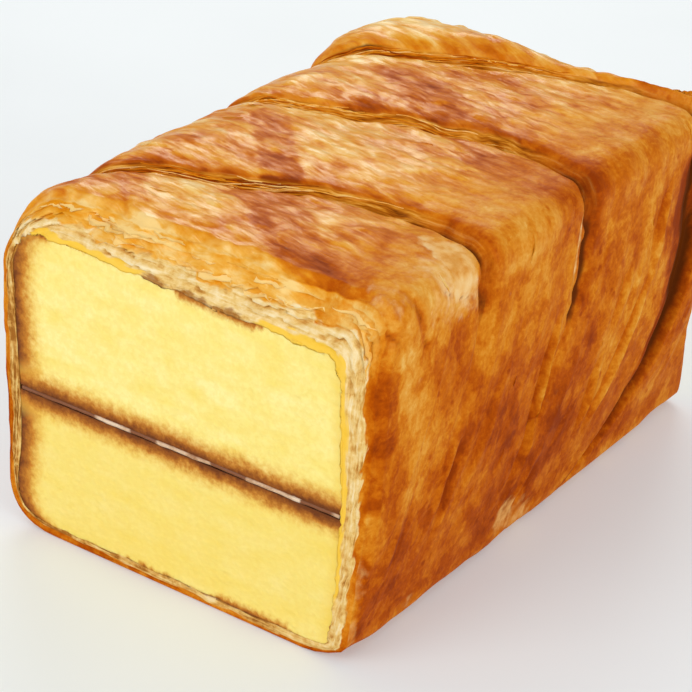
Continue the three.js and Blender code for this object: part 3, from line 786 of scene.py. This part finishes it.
def strands(rng, k, count, reach_x=(-60, 18), tones=(0.12, 0.22, 0.32, 0.42, 0.56, 0.76), na=27):
    """Edges of single leaves that stand out of the wall of slash k, along it."""
    first = (k + 1) * (WALL + PILLOW + TAIL)

    def at_wall(field, s, f):
        i = np.clip(np.interp(s, ARC, np.arange(N_U)), 0, N_U - 1.001)
        j = np.clip(first + f * WALL, first, first + WALL + 6)
        i0, j0 = np.floor(i).astype(int), np.floor(j).astype(int)
        fi, fj = (i - i0)[:, None], (j - j0)[:, None]
        return (field[j0, i0] * (1 - fi) + field[j0, i0 + 1] * fi) * (1 - fj) + (field[j0 + 1, i0] * (1 - fi) + field[j0 + 1, i0 + 1] * fi) * fj

    ends_s = ARC[(TOP > 0.9) & (X > reach_x[0]) & (X < reach_x[1])]
    A = np.linspace(-1, 1, na)
    quads = grid_quads(na, 4, wrap_cols=True)
    caps = np.array([[0, 1, 2, 3], [(na - 1) * 4 + 3, (na - 1) * 4 + 2, (na - 1) * 4 + 1, (na - 1) * 4]])
    vs, fs, at, n0 = [], [], {}, 0
    for _ in range(count):
        ln, f0, ht = rng.uniform(14, 40), rng.uniform(0.10, 0.78), rng.uniform(0.5, 1.1)
        s0 = rng.uniform(ends_s.min() + 6, ends_s.max() - 4)
        seed = rng.randint(1, 900)
        s = s0 + A * ln / 2
        f = np.clip(f0 + 0.06 * noise(A * ln / 9, 0.3, seed=seed) + rng.uniform(-0.22, 0.22) * A, 0.08, 0.92)
        taper = np.maximum(0.04, 1 - np.abs(A) ** 2.4)
        reach = ht * taper * (0.65 + 0.35 * noise(A * ln / 6, 0.6, seed=seed + 1) + 0.30 * noise(A * ln / 1.6, 0.2, seed=seed + 2))
        base = at_wall(OUTER, s, f)
        nrm = at_wall(GRID_N, s, f)
        d = nrm * 0.55 + np.array([0.12, -0.8, 0.1 + 0.25 * rng.uniform(-1, 1)])
        d = d / np.linalg.norm(d, axis=1, keepdims=True)
        up = np.array([0.0, 0.25, 1.0]) * (0.13 + 0.10 * taper)[:, None]
        inner, outer = base - 0.7 * d, base + np.maximum(reach, 0.02)[:, None] * d
        ribbon = np.stack([inner + up, outer + up * 0.5, outer - up * 0.5, inner - up], 1).reshape(-1, 3)
        vs.append(ribbon)
        fs.append(np.concatenate([quads, caps]) + n0)
        n0 += len(ribbon)
        tone = np.repeat(rng.choice(tones) + 0.25 * noise(A * ln / 4, 0.1, seed=seed + 3), 4) + np.tile([0.2, 0.03, 0.06, 0.2], na)
        coords = np.stack([np.repeat(s, 4) + rng.uniform(0, 40), np.tile([0.0, 1.0, 1.2, 0.2], na) + rng.uniform(0, 40), np.zeros(4 * na)], -1)
        one = {"brown": tone, "sw": coords, "lw": coords, "topness": np.ones(4 * na), "edge": np.ones(4 * na), "leaf": np.full(4 * na, 0.5), "gloss": np.full(4 * na, 0.02)}
        for key in ("groove_shade", "wall", "bare", "cut", "yolk", "burn"):
            one[key] = np.zeros(4 * na)
        for key, x in one.items():
            at.setdefault(key, []).append(x)
    return np.concatenate(vs), np.concatenate(fs), {key: np.concatenate(v) for key, v in at.items()}


top_s = ARC[TOP > 0.6]
S_TOP = (float(top_s.min()) + 2, float(top_s.max()) - 2)
rng = np.random.RandomState(20)
side_right = ARC[(X > 50) & (Z > 8) & (Z < 84)]
side_left = ARC[(X < -50) & (Z > 12) & (Z < 70)]
groups = [
    leaves(rng, 14, S_TOP, (-72, 75), (3.5, 9), (1.0, 2.6), (0.05, 0.25)),
    leaves(rng, 5, (float(side_right.min()), float(side_right.max())), (-72, 72), (3, 7), (0.8, 2.0), (0.05, 0.18)),
    leaves(rng, 6, (float(side_left.min()), float(side_left.max())), (-72, 72), (3, 7), (0.8, 2.0), (0.05, 0.18)),
    rim_flakes(rng, [OUTER[0]] + front, (0, -1, 0.3), 22, (7.0, 20.0), (0.07, 0.18), (0.15, 0.5)),
    rim_flakes(rng, [OUTER[-1]] + rear, (0, 1, 0.3), 22, (7.0, 20.0), (0.07, 0.18), (0.15, 0.5)),
]
groups += [strands(rng, k, 34) for k in range(3)]
groups += [strands(rng, 0, 12, (-26, 8), (0.02, 0.10, 0.9))]
# a torn leaf at the back right corner
groups.append(leaves(rng, 3, (-50.0, -46.0), (70.5, 72.5), (9, 16), (3.0, 4.0), (1.6, 2.6), sense=1, free=True))
vs, fs, at, n0 = [], [], {}, 0
for v, f, a in groups:
    vs.append(v)
    fs.append(f + n0)
    n0 += len(v)
    for k, x in a.items():
        at.setdefault(k, []).append(x)
leaf = make_mesh("pastry_leaves", np.concatenate(vs), np.concatenate(fs), {k: np.concatenate(x) for k, x in at.items()})

# ------------------------------------------------------------------ sponge
SEAM = 39.3


def resample(points, count):
    d = np.concatenate([[0], np.cumsum(np.linalg.norm(np.diff(points, axis=0), axis=1))])
    w = np.linspace(0, d[-1], count)
    return np.stack([np.interp(w, d, points[:, 0]), np.interp(w, d, points[:, 1])], 1)


def layer_outline(low, high):
    """Counter-clockwise outline of a layer between two levels."""
    core = outline(CORE, np.linspace(0, 6, 6001)[:-1])
    kept = []
    for a, b in zip(core, np.roll(core, -1, 0)):
        if low <= a[1] <= high:
            kept.append(a)
        for level in (low, high):
            if (a[1] - level) * (b[1] - level) < 0:
                kept.append(a + (b - a) * (level - a[1]) / (b[1] - a[1]))
    kept = np.array(kept)
    start = np.argmin(kept[:, 0] + kept[:, 1])
    kept = np.roll(kept, -start, 0)
    return kept


def four_sides(points, corners):
    """Splits a closed outline at the four points nearest to the given corners: bottom, right, top, left."""
    idx = [int(np.argmin(((points - np.array(c)) ** 2).sum(1))) for c in corners]
    n = len(points)
    runs = []
    for a, b in zip(idx, idx[1:] + idx[:1]):
        k = np.arange(a, b + 1 if b > a else b + n + 1) % n
        runs.append(points[k])
    return runs


def face_grid(points, corners, nx, nz):
    bottom, right, top, left = four_sides(points, corners)
    bottom, top = resample(bottom, nx), resample(top[::-1], nx)
    right, left = resample(right, nz), resample(left[::-1], nz)
    s, t = np.linspace(0, 1, nx)[None, :, None], np.linspace(0, 1, nz)[:, None, None]
    c00, c10, c01, c11 = bottom[0], bottom[-1], top[0], top[-1]
    return (
        (1 - t) * bottom[None] + t * top[None] + (1 - s) * left[:, None] + s * right[:, None]
        - ((1 - s) * (1 - t) * c00 + s * (1 - t) * c10 + (1 - s) * t * c01 + s * t * c11)
    )


def sponge(name, low, high, corners, seed, upper):
    nx, nz = 236, 104
    points = layer_outline(low, high)
    g = face_grid(points, corners, nx, nz)  # nz, nx, 2
    x, z = g[..., 0], g[..., 1]
    ring = np.concatenate([
        np.arange(nx), np.arange(1, nz) * nx + nx - 1,
        (nz - 1) * nx + np.arange(nx - 2, -1, -1), np.arange(nz - 2, 0, -1) * nx])
    rim = g.reshape(-1, 2)[ring]

    # distance to the browned skin: the left side, the seam, and in places the top or the bottom
    from_left = x - np.interp(z, *(lambda p: (p[np.argsort(p[:, 1]), 1], p[np.argsort(p[:, 1]), 0]))(points[points[:, 0] < -20]))
    right_pts = points[points[:, 0] > 30]
    order = np.argsort(right_pts[:, 1])
    from_right = np.interp(z, right_pts[order, 1], right_pts[order, 0]) - x
    top_pts = points[points[:, 1] > (high - (20 if upper else 0.01))]
    order = np.argsort(top_pts[:, 0])
    from_top = np.interp(x, top_pts[order, 0], top_pts[order, 1]) - z
    low_pts = points[points[:, 1] < low + (0.01 if upper else 16)]
    order = np.argsort(low_pts[:, 0])
    from_low = z - np.interp(x, low_pts[order, 0], low_pts[order, 1])
    wob = 0.55 * noise(x / 7, z / 7, seed=seed) + 0.35 * noise(x / 2.3, z / 2.3, seed=seed + 1)

    def faces(y, sign, k):
        crumb = 0.13 * fbm(x / 1.3, z / 1.1, seed=seed + 7 + k, octaves=3) + 0.18 * noise(x / 9, z / 7, seed=seed + 9 + k)
        pit = np.maximum(0, noise(x / 1.9, z / 1.7, seed=seed + 11 + k) - 0.62) * 2.2
        fall = np.minimum.reduce([from_left, from_right, from_top, from_low])
        soft = 0.12 * np.exp(-np.maximum(fall, 0) / 0.4)
        yy = y + sign * (soft + 0.9 * pit - crumb * np.minimum(1, np.maximum(fall, 0) / 0.8))
        return np.stack([x, yy, z], -1).reshape(-1, 3)

    front_v, back_v = faces(-HALF, 1.0, 0), faces(HALF, -1.0, 20)
    ny = 12
    side_y = np.linspace(-HALF + 1.2, HALF - 1.2, ny)
    side_v = np.concatenate([np.stack([rim[:, 0], np.full(len(rim), y), rim[:, 1]], -1) for y in side_y])
    m = nx * nz
    nr = len(ring)
    verts = np.concatenate([front_v, back_v, side_v])
    quads = [grid_quads(nz, nx, flip=True), grid_quads(nz, nx, offset=m)]
    rows = [ring] + [2 * m + k * nr + np.arange(nr) for k in range(ny)] + [m + ring]
    for ra, rb in zip(rows[:-1], rows[1:]):
        quads.append(np.stack([ra, np.roll(ra, -1), np.roll(rb, -1), rb], -1))

    def on_all(face_values, side_value):
        return np.concatenate([face_values.reshape(-1), face_values.reshape(-1), np.full(nr * ny, side_value)])

    # where the top of the upper layer and the bottom of the lower one are browned at the cut
    if upper:
        where = lambda v: np.maximum.reduce([smooth(-8, 4, v) * smooth(32, 18, v), 0.75 * smooth(-26, -40, v), 0.42 * smooth(44, 30, v)]) + 0.25 * noise(v / 3.0, 0.6, seed=seed + 33)
    else:
        where = lambda v: np.maximum.reduce([smooth(2, 16, v) * smooth(40, 30, v), 0.55 * smooth(-34, -14, v) * smooth(14, 0, v), 0.3 + 0 * v]) + 0.25 * noise(v / 3.0, 0.6, seed=seed + 33)
    left_d = from_left + wob * 1.0
    if upper:
        seam_d = from_low + 0.9 * wob
        free_d = from_top
    else:
        seam_d = from_top + 0.9 * wob
        free_d = from_low
    obj = make_mesh(name, verts, quads, {
        "left": on_all(left_d, 0.0), "seam": on_all(seam_d, 0.0), "free": on_all(free_d, 0.0), "right": on_all(from_right, 3.0),
        "patch": on_all(np.clip(where(x) + 0.3 * noise(x / 1.3, z / 3.0, seed=seed + 31), 0, 1), 0.5),
    })
    return obj


half_seam = 0.62
upper = sponge("sponge_upper_crumb", SEAM + half_seam, 90.0, [(-50.5, 40), (47.4, 40), (44.6, 78.2), (-46.9, 80.0)], 61, True)
lower = sponge("sponge_lower_crumb", 0.0, SEAM - half_seam, [(-49.6, 5.6), (44.0, 3.4), (47.4, 38.6), (-49.2, 38.6)], 81, False)


# ------------------------------------------------------------------ cream
def cream_seam():
    nx, ny = 190, 64
    x = np.linspace(-48.6, 46.4, nx)

    def shown(v):
        at = np.maximum.reduce([smooth(a - 3, a + 3, v) * smooth(b + 3, b - 3, v) for a, b in ((-25, -15), (-6, 9), (20, 36), (45, 48))])
        return np.clip(at + 0.35 * noise(v / 2.2, 0.31, seed=91), 0, 1)

    show_f, show_b = shown(x), shown(-x)
    inset_f = mix(0.14, 0.08, show_f) + 0.10 * noise(x / 2.0, 0.2, seed=92)
    inset_b = mix(0.14, 0.08, show_b) + 0.10 * noise(x / 2.0, 3.2, seed=94)
    t = np.linspace(0, 1, ny)
    Yg = (-HALF + inset_f)[None] + ((HALF - inset_b) - (-HALF + inset_f))[None] * t[:, None]
    Xg = np.broadcast_to(x, Yg.shape)
    thick = 0.52 + 0.10 * noise(Xg / 3, Yg / 6, seed=95)
    end = np.minimum(1, np.minimum(t, 1 - t)[:, None] * 160 + 0.8)
    lift = 0.22 * noise(Xg / 5, 0.5, seed=96)
    top = np.stack([Xg, Yg, SEAM + thick * end + lift], -1).reshape(-1, 3)
    bot = np.stack([Xg, Yg, SEAM - thick * end + lift], -1).reshape(-1, 3)
    m = nx * ny
    ring = np.concatenate([
        np.arange(nx), np.arange(1, ny) * nx + nx - 1,
        (ny - 1) * nx + np.arange(nx - 2, -1, -1), np.arange(ny - 2, 0, -1) * nx])
    nxt = np.roll(ring, -1)
    stain = np.broadcast_to(mix(1 - show_f, 1 - show_b, t[:, None]), Yg.shape).reshape(-1)
    return make_mesh("cream_layer_smear", np.concatenate([top, bot]), [
        grid_quads(ny, nx, flip=True), grid_quads(ny, nx, offset=m),
        np.stack([ring + m, nxt + m, nxt, ring], -1)], {"stain": np.concatenate([stain, stain])})


cream = cream_seam()


# ------------------------------------------------------------------ materials
def crust_material():
    n = Nodes("pastry_crust")
    sw = n.attribute("sw", "Vector")
    pos = n.position()
    top = n.attribute("topness")
    streak = n.noise(n.scaled(sw, (0.12, 0.26, 0.0)), 1.0, 3.0, 0.55, 0.8)
    fine = n.noise(n.scaled(sw, (0.12, 0.78, 0.0), (3, 7, 0)), 1.0, 3.0, 0.55, 0.7)
    long = n.noise(n.scaled(sw, (0.07, 0.55, 0.0), (9, 4, 0)), 1.0, 3.0, 0.6, 0.3)
    wide = n.scaled(pos, (1, 0.85, 0.8))
    place = n.new("ShaderNodeSeparateXYZ")
    n.link(pos, place.inputs[0])
    behind = n.math("MULTIPLY", n.range(place.outputs["Y"], -0.045, 0.005, 0.35, 1.0), top)
    across = n.scaled(pos, (0.72, 1.2, 1), (0.2, 0.5, 0.1))
    blend = lambda a, b: n.math("ADD", n.math("MULTIPLY", a, n.math("SUBTRACT", 1.0, top)), n.math("MULTIPLY", b, top))
    blot = blend(n.noise(wide, 120.0, 3.0, 0.5, 0.25), n.noise(across, 125.0, 4.0, 0.58, 0.3))
    cloud = n.noise(wide, 40.0, 3.0, 0.55, 0.4)
    grain = n.noise(pos, 900.0, 2.0, 0.6)

    def centred(v, k):
        return n.math("MULTIPLY", n.math("SUBTRACT", v, 0.5), k)

    even = blend(n.noise(n.scaled(pos, (1, 1, 0.85), (0.3, 0.1, 0.2)), 340.0, 4.0, 0.60, 0.15), n.noise(across, 380.0, 3.0, 0.55, 0.15))
    tone = n.math("ADD", n.attribute("brown"), centred(streak, n.range(top, 0.0, 1.0, 0.10, 0.52, "LINEAR")))
    tone = n.math("ADD", tone, centred(fine, n.range(top, 0.0, 1.0, 0.05, 0.34, "LINEAR")))
    tone = n.math("ADD", tone, centred(even, n.range(top, 0.0, 1.0, 0.34, 0.15, "LINEAR")))
    tone = n.math("ADD", tone, centred(blot, n.range(top, 0.0, 1.0, 0.62, 0.44, "LINEAR")))
    tone = n.math("ADD", tone, centred(cloud, n.range(top, 0.0, 1.0, 0.48, 0.50, "LINEAR")))
    tone = n.math("ADD", tone, centred(grain, n.range(top, 0.0, 1.0, 0.36, 0.10, "LINEAR")))
    tone = n.math("ADD", tone, centred(n.math("MULTIPLY_ADD", n.math("SUBTRACT", long, 0.5), behind, 0.5), 0.30))
    mottle = n.range(n.noise(n.scaled(pos, (1, 0.9, 0.75), (0.6, 0.2, 0.7)), 185.0, 4.0, 0.62, 0.4), 0.44, 0.56)
    tone = n.math("ADD", tone, centred(mottle, n.range(top, 0.0, 1.0, 0.13, 0.0, "LINEAR")))
    specks = n.math("MULTIPLY", n.range(n.voronoi(pos, 210.0), 0.08, 0.24, 1.0, 0.0), n.range(n.noise(n.scaled(pos, (1, 1, 1), (0.5, 0.3, 0.1)), 75.0, 2.0, 0.5), 0.52, 0.64))
    tone = n.math("ADD", tone, n.math("MULTIPLY", specks, n.range(top, 0.0, 1.0, 0.20, 0.08, "LINEAR")))
    skin = n.ramp(tone, [
        (0.10, srgb(242, 203, 126)), (0.26, srgb(232, 170, 68)), (0.42, srgb(221, 142, 24)),
        (0.58, srgb(204, 111, 5)), (0.75, srgb(176, 80, 1)), (0.95, srgb(136, 54, 1))])
    flank = n.ramp(tone, [
        (0.10, srgb(230, 182, 98)), (0.26, srgb(222, 154, 58)), (0.42, srgb(212, 130, 28)),
        (0.58, srgb(196, 102, 8)), (0.75, srgb(174, 76, 1)), (0.95, srgb(142, 54, 1))])
    skin = n.mix(n.range(top, 0.05, 0.9), flank, skin)
    pale = n.ramp(n.math("ADD", n.math("MULTIPLY", even, 0.5), n.math("MULTIPLY", blot, 0.5)), [
        (0.38, srgb(212, 138, 58)), (0.48, srgb(234, 182, 108)), (0.60, srgb(244, 210, 150))])
    pale_side = n.ramp(n.math("ADD", n.math("MULTIPLY", even, 0.5), n.math("MULTIPLY", blot, 0.5)), [
        (0.38, srgb(200, 120, 44)), (0.48, srgb(224, 160, 82)), (0.60, srgb(234, 178, 104))])
    pale = n.mix(n.range(place.outputs["Z"], 0.060, 0.075), pale_side, pale)
    skin = n.mix(n.range(n.math("ADD", n.attribute("bare"), n.math("ADD", centred(even, 1.1), centred(blot, 0.9))), 0.25, 0.95, 0.0, 0.80), skin, pale)
    strands = n.noise(n.scaled(n.attribute("lw", "Vector"), (0.10, 3.2, 0.0), (1, 2, 3)), 1.0, 3.0, 0.6)
    wall_c = n.ramp(strands, [(0.32, srgb(92, 44, 4)), (0.43, srgb(164, 90, 12)), (0.55, srgb(208, 136, 36)), (0.70, srgb(238, 194, 106))])
    skin = n.mix(n.range(n.attribute("wall"), 0.1, 0.8, 0.0, 0.92), skin, wall_c)
    # painted shade: the slash bottoms, the cracks and the gap of the third slash turn dark brown
    dark = n.range(n.math("ADD", n.attribute("groove_shade"), centred(fine, 0.5)), 0.25, 0.75)
    skin = n.mix(n.math("MULTIPLY", dark, 0.92), skin, srgb(90, 40, 4))
    # leaves at the cut ends
    s1 = n.noise(n.scaled(sw, (0.12, 0.0, 0.9)), 1.0, 4.0, 0.6, 0.3)
    s2 = n.noise(n.scaled(sw, (0.5, 0.0, 1.6), (5, 0, 2)), 1.0, 3.0, 0.6)
    s3 = n.noise(n.scaled(pos, (1, 1, 1), (0.4, 0.2, 0.6)), 330.0, 4.0, 0.6, 0.3)
    # low leaf values, at each leaf's root, give darker layers: painted shade in the recess there
    s = n.math("MULTIPLY_ADD", n.attribute("leaf"), 0.36, 0.31)
    s = n.math("ADD", s, centred(s1, 0.62))
    s = n.math("ADD", s, centred(s2, 0.34))
    s = n.math("ADD", s, centred(s3, 0.75))
    leaf_c = n.ramp(s, [
        (0.20, srgb(162, 102, 38)), (0.33, srgb(204, 150, 74)), (0.47, srgb(227, 189, 114)),
        (0.62, srgb(237, 209, 152)), (0.80, srgb(243, 225, 182))])
    leaf_c = n.mix(n.range(n.math("ADD", n.attribute("yolk"), centred(s1, 0.6)), 0.25, 0.70, 0.0, 0.9), leaf_c, srgb(244, 196, 62))
    rim = n.range(n.math("ADD", n.attribute("edge"), centred(s2, 0.5)), 0.38, 0.80)
    leaf_c = n.mix(rim, leaf_c, skin)
    leaf_c = n.mix(n.range(n.math("ADD", n.attribute("burn"), centred(s2, 1.0)), 0.34, 0.80, 0.0, 0.75), leaf_c, srgb(148, 84, 24))
    colour = n.mix(n.attribute("cut"), skin, leaf_c)
    n.link(colour, n.bsdf.inputs["Base Color"])
    matt = n.math("MAXIMUM", n.math("MAXIMUM", n.attribute("cut"), n.attribute("wall")), n.attribute("bare"), clamp=True)
    rough = n.math("ADD", n.range(blot, 0.3, 0.7, 0.50, 0.62), n.math("MULTIPLY", matt, 0.3))
    n.link(rough, n.bsdf.inputs["Roughness"])
    n.bsdf.inputs["Specular IOR Level"].default_value = 0.03
    gloss = n.math("MULTIPLY", n.math("SUBTRACT", 1.0, matt), n.attribute("gloss"))
    washed = n.noise(n.scaled(pos, (0.68, 1.2, 1), (0.7, 0.4, 0.1)), 150.0, 4.0, 0.6, 0.5)
    gloss = n.math("MULTIPLY", gloss, n.range(n.math("SUBTRACT", washed, centred(n.math("ADD", streak, n.math("MULTIPLY", n.math("SUBTRACT", long, 0.5), 0.5)), 0.5)), 0.38, 0.60, 0.48, 1.0))
    gloss = n.math("MULTIPLY", gloss, n.range(tone, 0.45, 0.78, 1.05, 0.25))
    gloss = n.math("MULTIPLY", gloss, n.range(n.math("MULTIPLY_ADD", streak, 0.5, n.math("MULTIPLY", fine, 0.5)), 0.42, 0.60, 1.1, 0.30))
    n.link(gloss, n.bsdf.inputs["Coat Weight"])
    n.bsdf.inputs["Coat Roughness"].default_value = 0.17
    h = n.math("ADD", n.math("MULTIPLY", fine, n.range(top, 0.0, 1.0, 0.1, 0.6, "LINEAR")), n.math("MULTIPLY", even, n.range(top, 0.0, 1.0, 0.7, 0.4, "LINEAR")))
    h = n.math("ADD", h, n.math("MULTIPLY", blot, 0.4))
    h = n.math("ADD", h, n.math("MULTIPLY", grain, 0.08))
    bump = n.bump(h, 0.3, 0.0008)
    n.link(bump, n.bsdf.inputs["Normal"])
    n.link(bump, n.bsdf.inputs["Coat Normal"])
    return n.material


def sponge_material():
    n = Nodes("sponge_crumb")
    pos = n.position()
    crumb = n.noise(n.scaled(pos, (1, 0.3, 1)), 700.0, 4.0, 0.62)
    soft = n.noise(n.scaled(pos, (1, 0.3, 1.6)), 120.0, 3.0, 0.55)
    streak = n.noise(n.scaled(pos, (0.35, 0.1, 2.4)), 60.0, 2.0, 0.5)
    wob = n.math("MULTIPLY", n.math("SUBTRACT", crumb, 0.5), 3.0)
    wob2 = n.math("MULTIPLY", n.math("SUBTRACT", soft, 0.5), 2.0)
    wobble = n.math("ADD", wob, wob2)
    yellow = n.ramp(n.math("ADD", n.math("MULTIPLY", soft, 0.5), n.math("MULTIPLY", streak, 0.5)), [
        (0.30, srgb(245, 219, 110)), (0.50, srgb(249, 230, 140)), (0.72, srgb(252, 238, 166))])
    yellow = n.mix(n.math("MULTIPLY", n.range(crumb, 0.40, 0.62, 1.0, 0.0), 0.22), yellow, srgb(236, 200, 84))
    height = n.new("ShaderNodeSeparateXYZ")
    n.link(pos, height.inputs[0])
    lower_part = n.range(height.outputs["Z"], 0.0385, 0.0400, 0.5, 0.0)
    yellow = n.mix(lower_part, yellow, srgb(240, 208, 92))
    right = n.range(n.attribute("right"), 0.5, 4.0, 1.0, 0.0)
    yellow = n.mix(n.math("MULTIPLY", right, 0.45), yellow, srgb(238, 196, 70))

    def browned(value, stops):
        return n.ramp(n.math("DIVIDE", n.math("ADD", value, wobble), 10.0), stops)

    def cover(value, a, b):
        return n.range(n.math("ADD", value, wobble), a, b, 1.0, 0.0)

    skin_stops = [
        (0.00, srgb(110, 54, 9)), (0.09, srgb(148, 80, 16)), (0.21, srgb(196, 124, 34)),
        (0.36, srgb(227, 173, 66)), (0.58, srgb(245, 214, 108))]
    left = n.math("MULTIPLY", n.attribute("left"), 0.62)
    col = n.mix(cover(left, 1.8, 6.8), yellow, browned(left, skin_stops))
    seam = n.math("MULTIPLY", n.attribute("seam"), 0.76)
    col = n.mix(cover(seam, 1.4, 6.0), col, browned(seam, skin_stops))
    free = n.attribute("free")
    patch = n.attribute("patch")
    free_x = n.math("ADD", n.math("MULTIPLY", free, 1.2), n.range(patch, 0.1, 0.9, 4.6, 0.6, "LINEAR"))
    col = n.mix(cover(free_x, 1.6, 4.4), col, browned(free_x, skin_stops))
    n.link(col, n.bsdf.inputs["Base Color"])
    n.bsdf.inputs["Roughness"].default_value = 0.82
    n.bsdf.inputs["Specular IOR Level"].default_value = 0.25
    n.bsdf.inputs["Subsurface Weight"].default_value = 0.12
    n.bsdf.inputs["Subsurface Radius"].default_value = (0.9, 0.6, 0.2)
    n.bsdf.inputs["Subsurface Scale"].default_value = 0.002
    n.link(n.bump(n.math("ADD", crumb, n.math("MULTIPLY", soft, 0.4)), 0.35, 0.0005), n.bsdf.inputs["Normal"])
    return n.material


def cream_material():
    n = Nodes("cream")
    a = n.noise(n.position(), 260.0, 3.0, 0.6)
    b = n.noise(n.position(), 90.0, 2.0, 0.5)
    col = n.ramp(n.math("ADD", n.math("MULTIPLY", a, 0.6), n.math("MULTIPLY", b, 0.4)), [
        (0.34, srgb(168, 112, 66)), (0.48, srgb(210, 170, 132)), (0.66, srgb(236, 210, 182))])
    stain = n.range(n.math("ADD", n.attribute("stain"), n.math("MULTIPLY", n.math("SUBTRACT", a, 0.5), 1.2)), 0.3, 0.7)
    col = n.mix(stain, col, srgb(128, 68, 20))
    n.link(col, n.bsdf.inputs["Base Color"])
    n.link(n.range(a, 0.3, 0.7, 0.4, 0.6), n.bsdf.inputs["Roughness"])
    n.link(n.bump(a, 0.4, 0.0004), n.bsdf.inputs["Normal"])
    return n.material


def floor_material():
    n = Nodes("floor")
    f = n.noise(n.position(), 9.0, 2.0, 0.5)
    n.link(n.ramp(f, [(0.3, srgb(207, 211, 211)), (0.7, srgb(211, 215, 215))]), n.bsdf.inputs["Base Color"])
    n.bsdf.inputs["Roughness"].default_value = 0.55
    n.bsdf.inputs["Specular IOR Level"].default_value = 0.3
    n.bsdf.inputs["Emission Color"].default_value = (1.0, 1.0, 1.0, 1.0)
    n.bsdf.inputs["Emission Strength"].default_value = 0.20
    return n.material


crust, crumb_mat, cream_mat = crust_material(), sponge_material(), cream_material()
for obj in (pastry, leaf):
    obj.data.materials.append(crust)
for obj in (upper, lower):
    obj.data.materials.append(crumb_mat)
cream.data.materials.append(cream_mat)

for obj, node, slot in (
    (pastry, "pastry_wrap", "pastry"), (leaf, None, "pastry"), (upper, "sponge_upper", "sponge"),
    (lower, "sponge_lower", "sponge"), (cream, "cream_layer", "cream"),
):
    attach(obj, "root")
    if node:
        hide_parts(node)

# ------------------------------------------------------------------ floor and light
size = 4.0
floor_mesh = bpy.data.meshes.new("floor")
floor_mesh.from_pydata([(-size, -size, 0), (size, -size, 0), (size, size, 0), (-size, size, 0)], [], [(0, 1, 2, 3)])
floor = bpy.data.objects.new("floor", floor_mesh)
floor.location.z = -0.0002
floor_mesh.materials.append(floor_material())
bpy.context.scene.collection.objects.link(floor)


def area(name, place, aim, size, power, colour=(1, 1, 1)):
    data = bpy.data.lights.new(name, "AREA")
    data.shape = "RECTANGLE"
    data.size, data.size_y = size
    data.energy = power
    data.color = colour
    o = bpy.data.objects.new(name, data)
    o.location = place
    o.rotation_euler = (Vector(aim) - Vector(place)).to_track_quat("-Z", "Y").to_euler()
    bpy.context.scene.collection.objects.link(o)


area("key", (-0.35, -0.95, 0.55), (0, 0, 0.04), (0.7, 0.6), 4.6, (1.0, 0.98, 0.95))
area("sheen", (-0.50, 0.75, 0.62), (0, 0, 0.08), (0.7, 0.45), 3.2, (0.98, 0.98, 0.94))
area("fill", (0.95, -0.25, 0.40), (0, 0, 0.05), (0.6, 0.6), 3.6, (1.0, 0.98, 0.95))

world = bpy.data.worlds.new("world")
bpy.context.scene.world = world
world.use_nodes = True
bg = world.node_tree.nodes["Background"]
bg.inputs["Color"].default_value = (0.93, 0.96, 1.0, 1)
bg.inputs["Strength"].default_value = 0.66

view = bpy.context.scene.view_settings
view.view_transform = "Standard"
view.look = "None"
view.exposure = 0.0
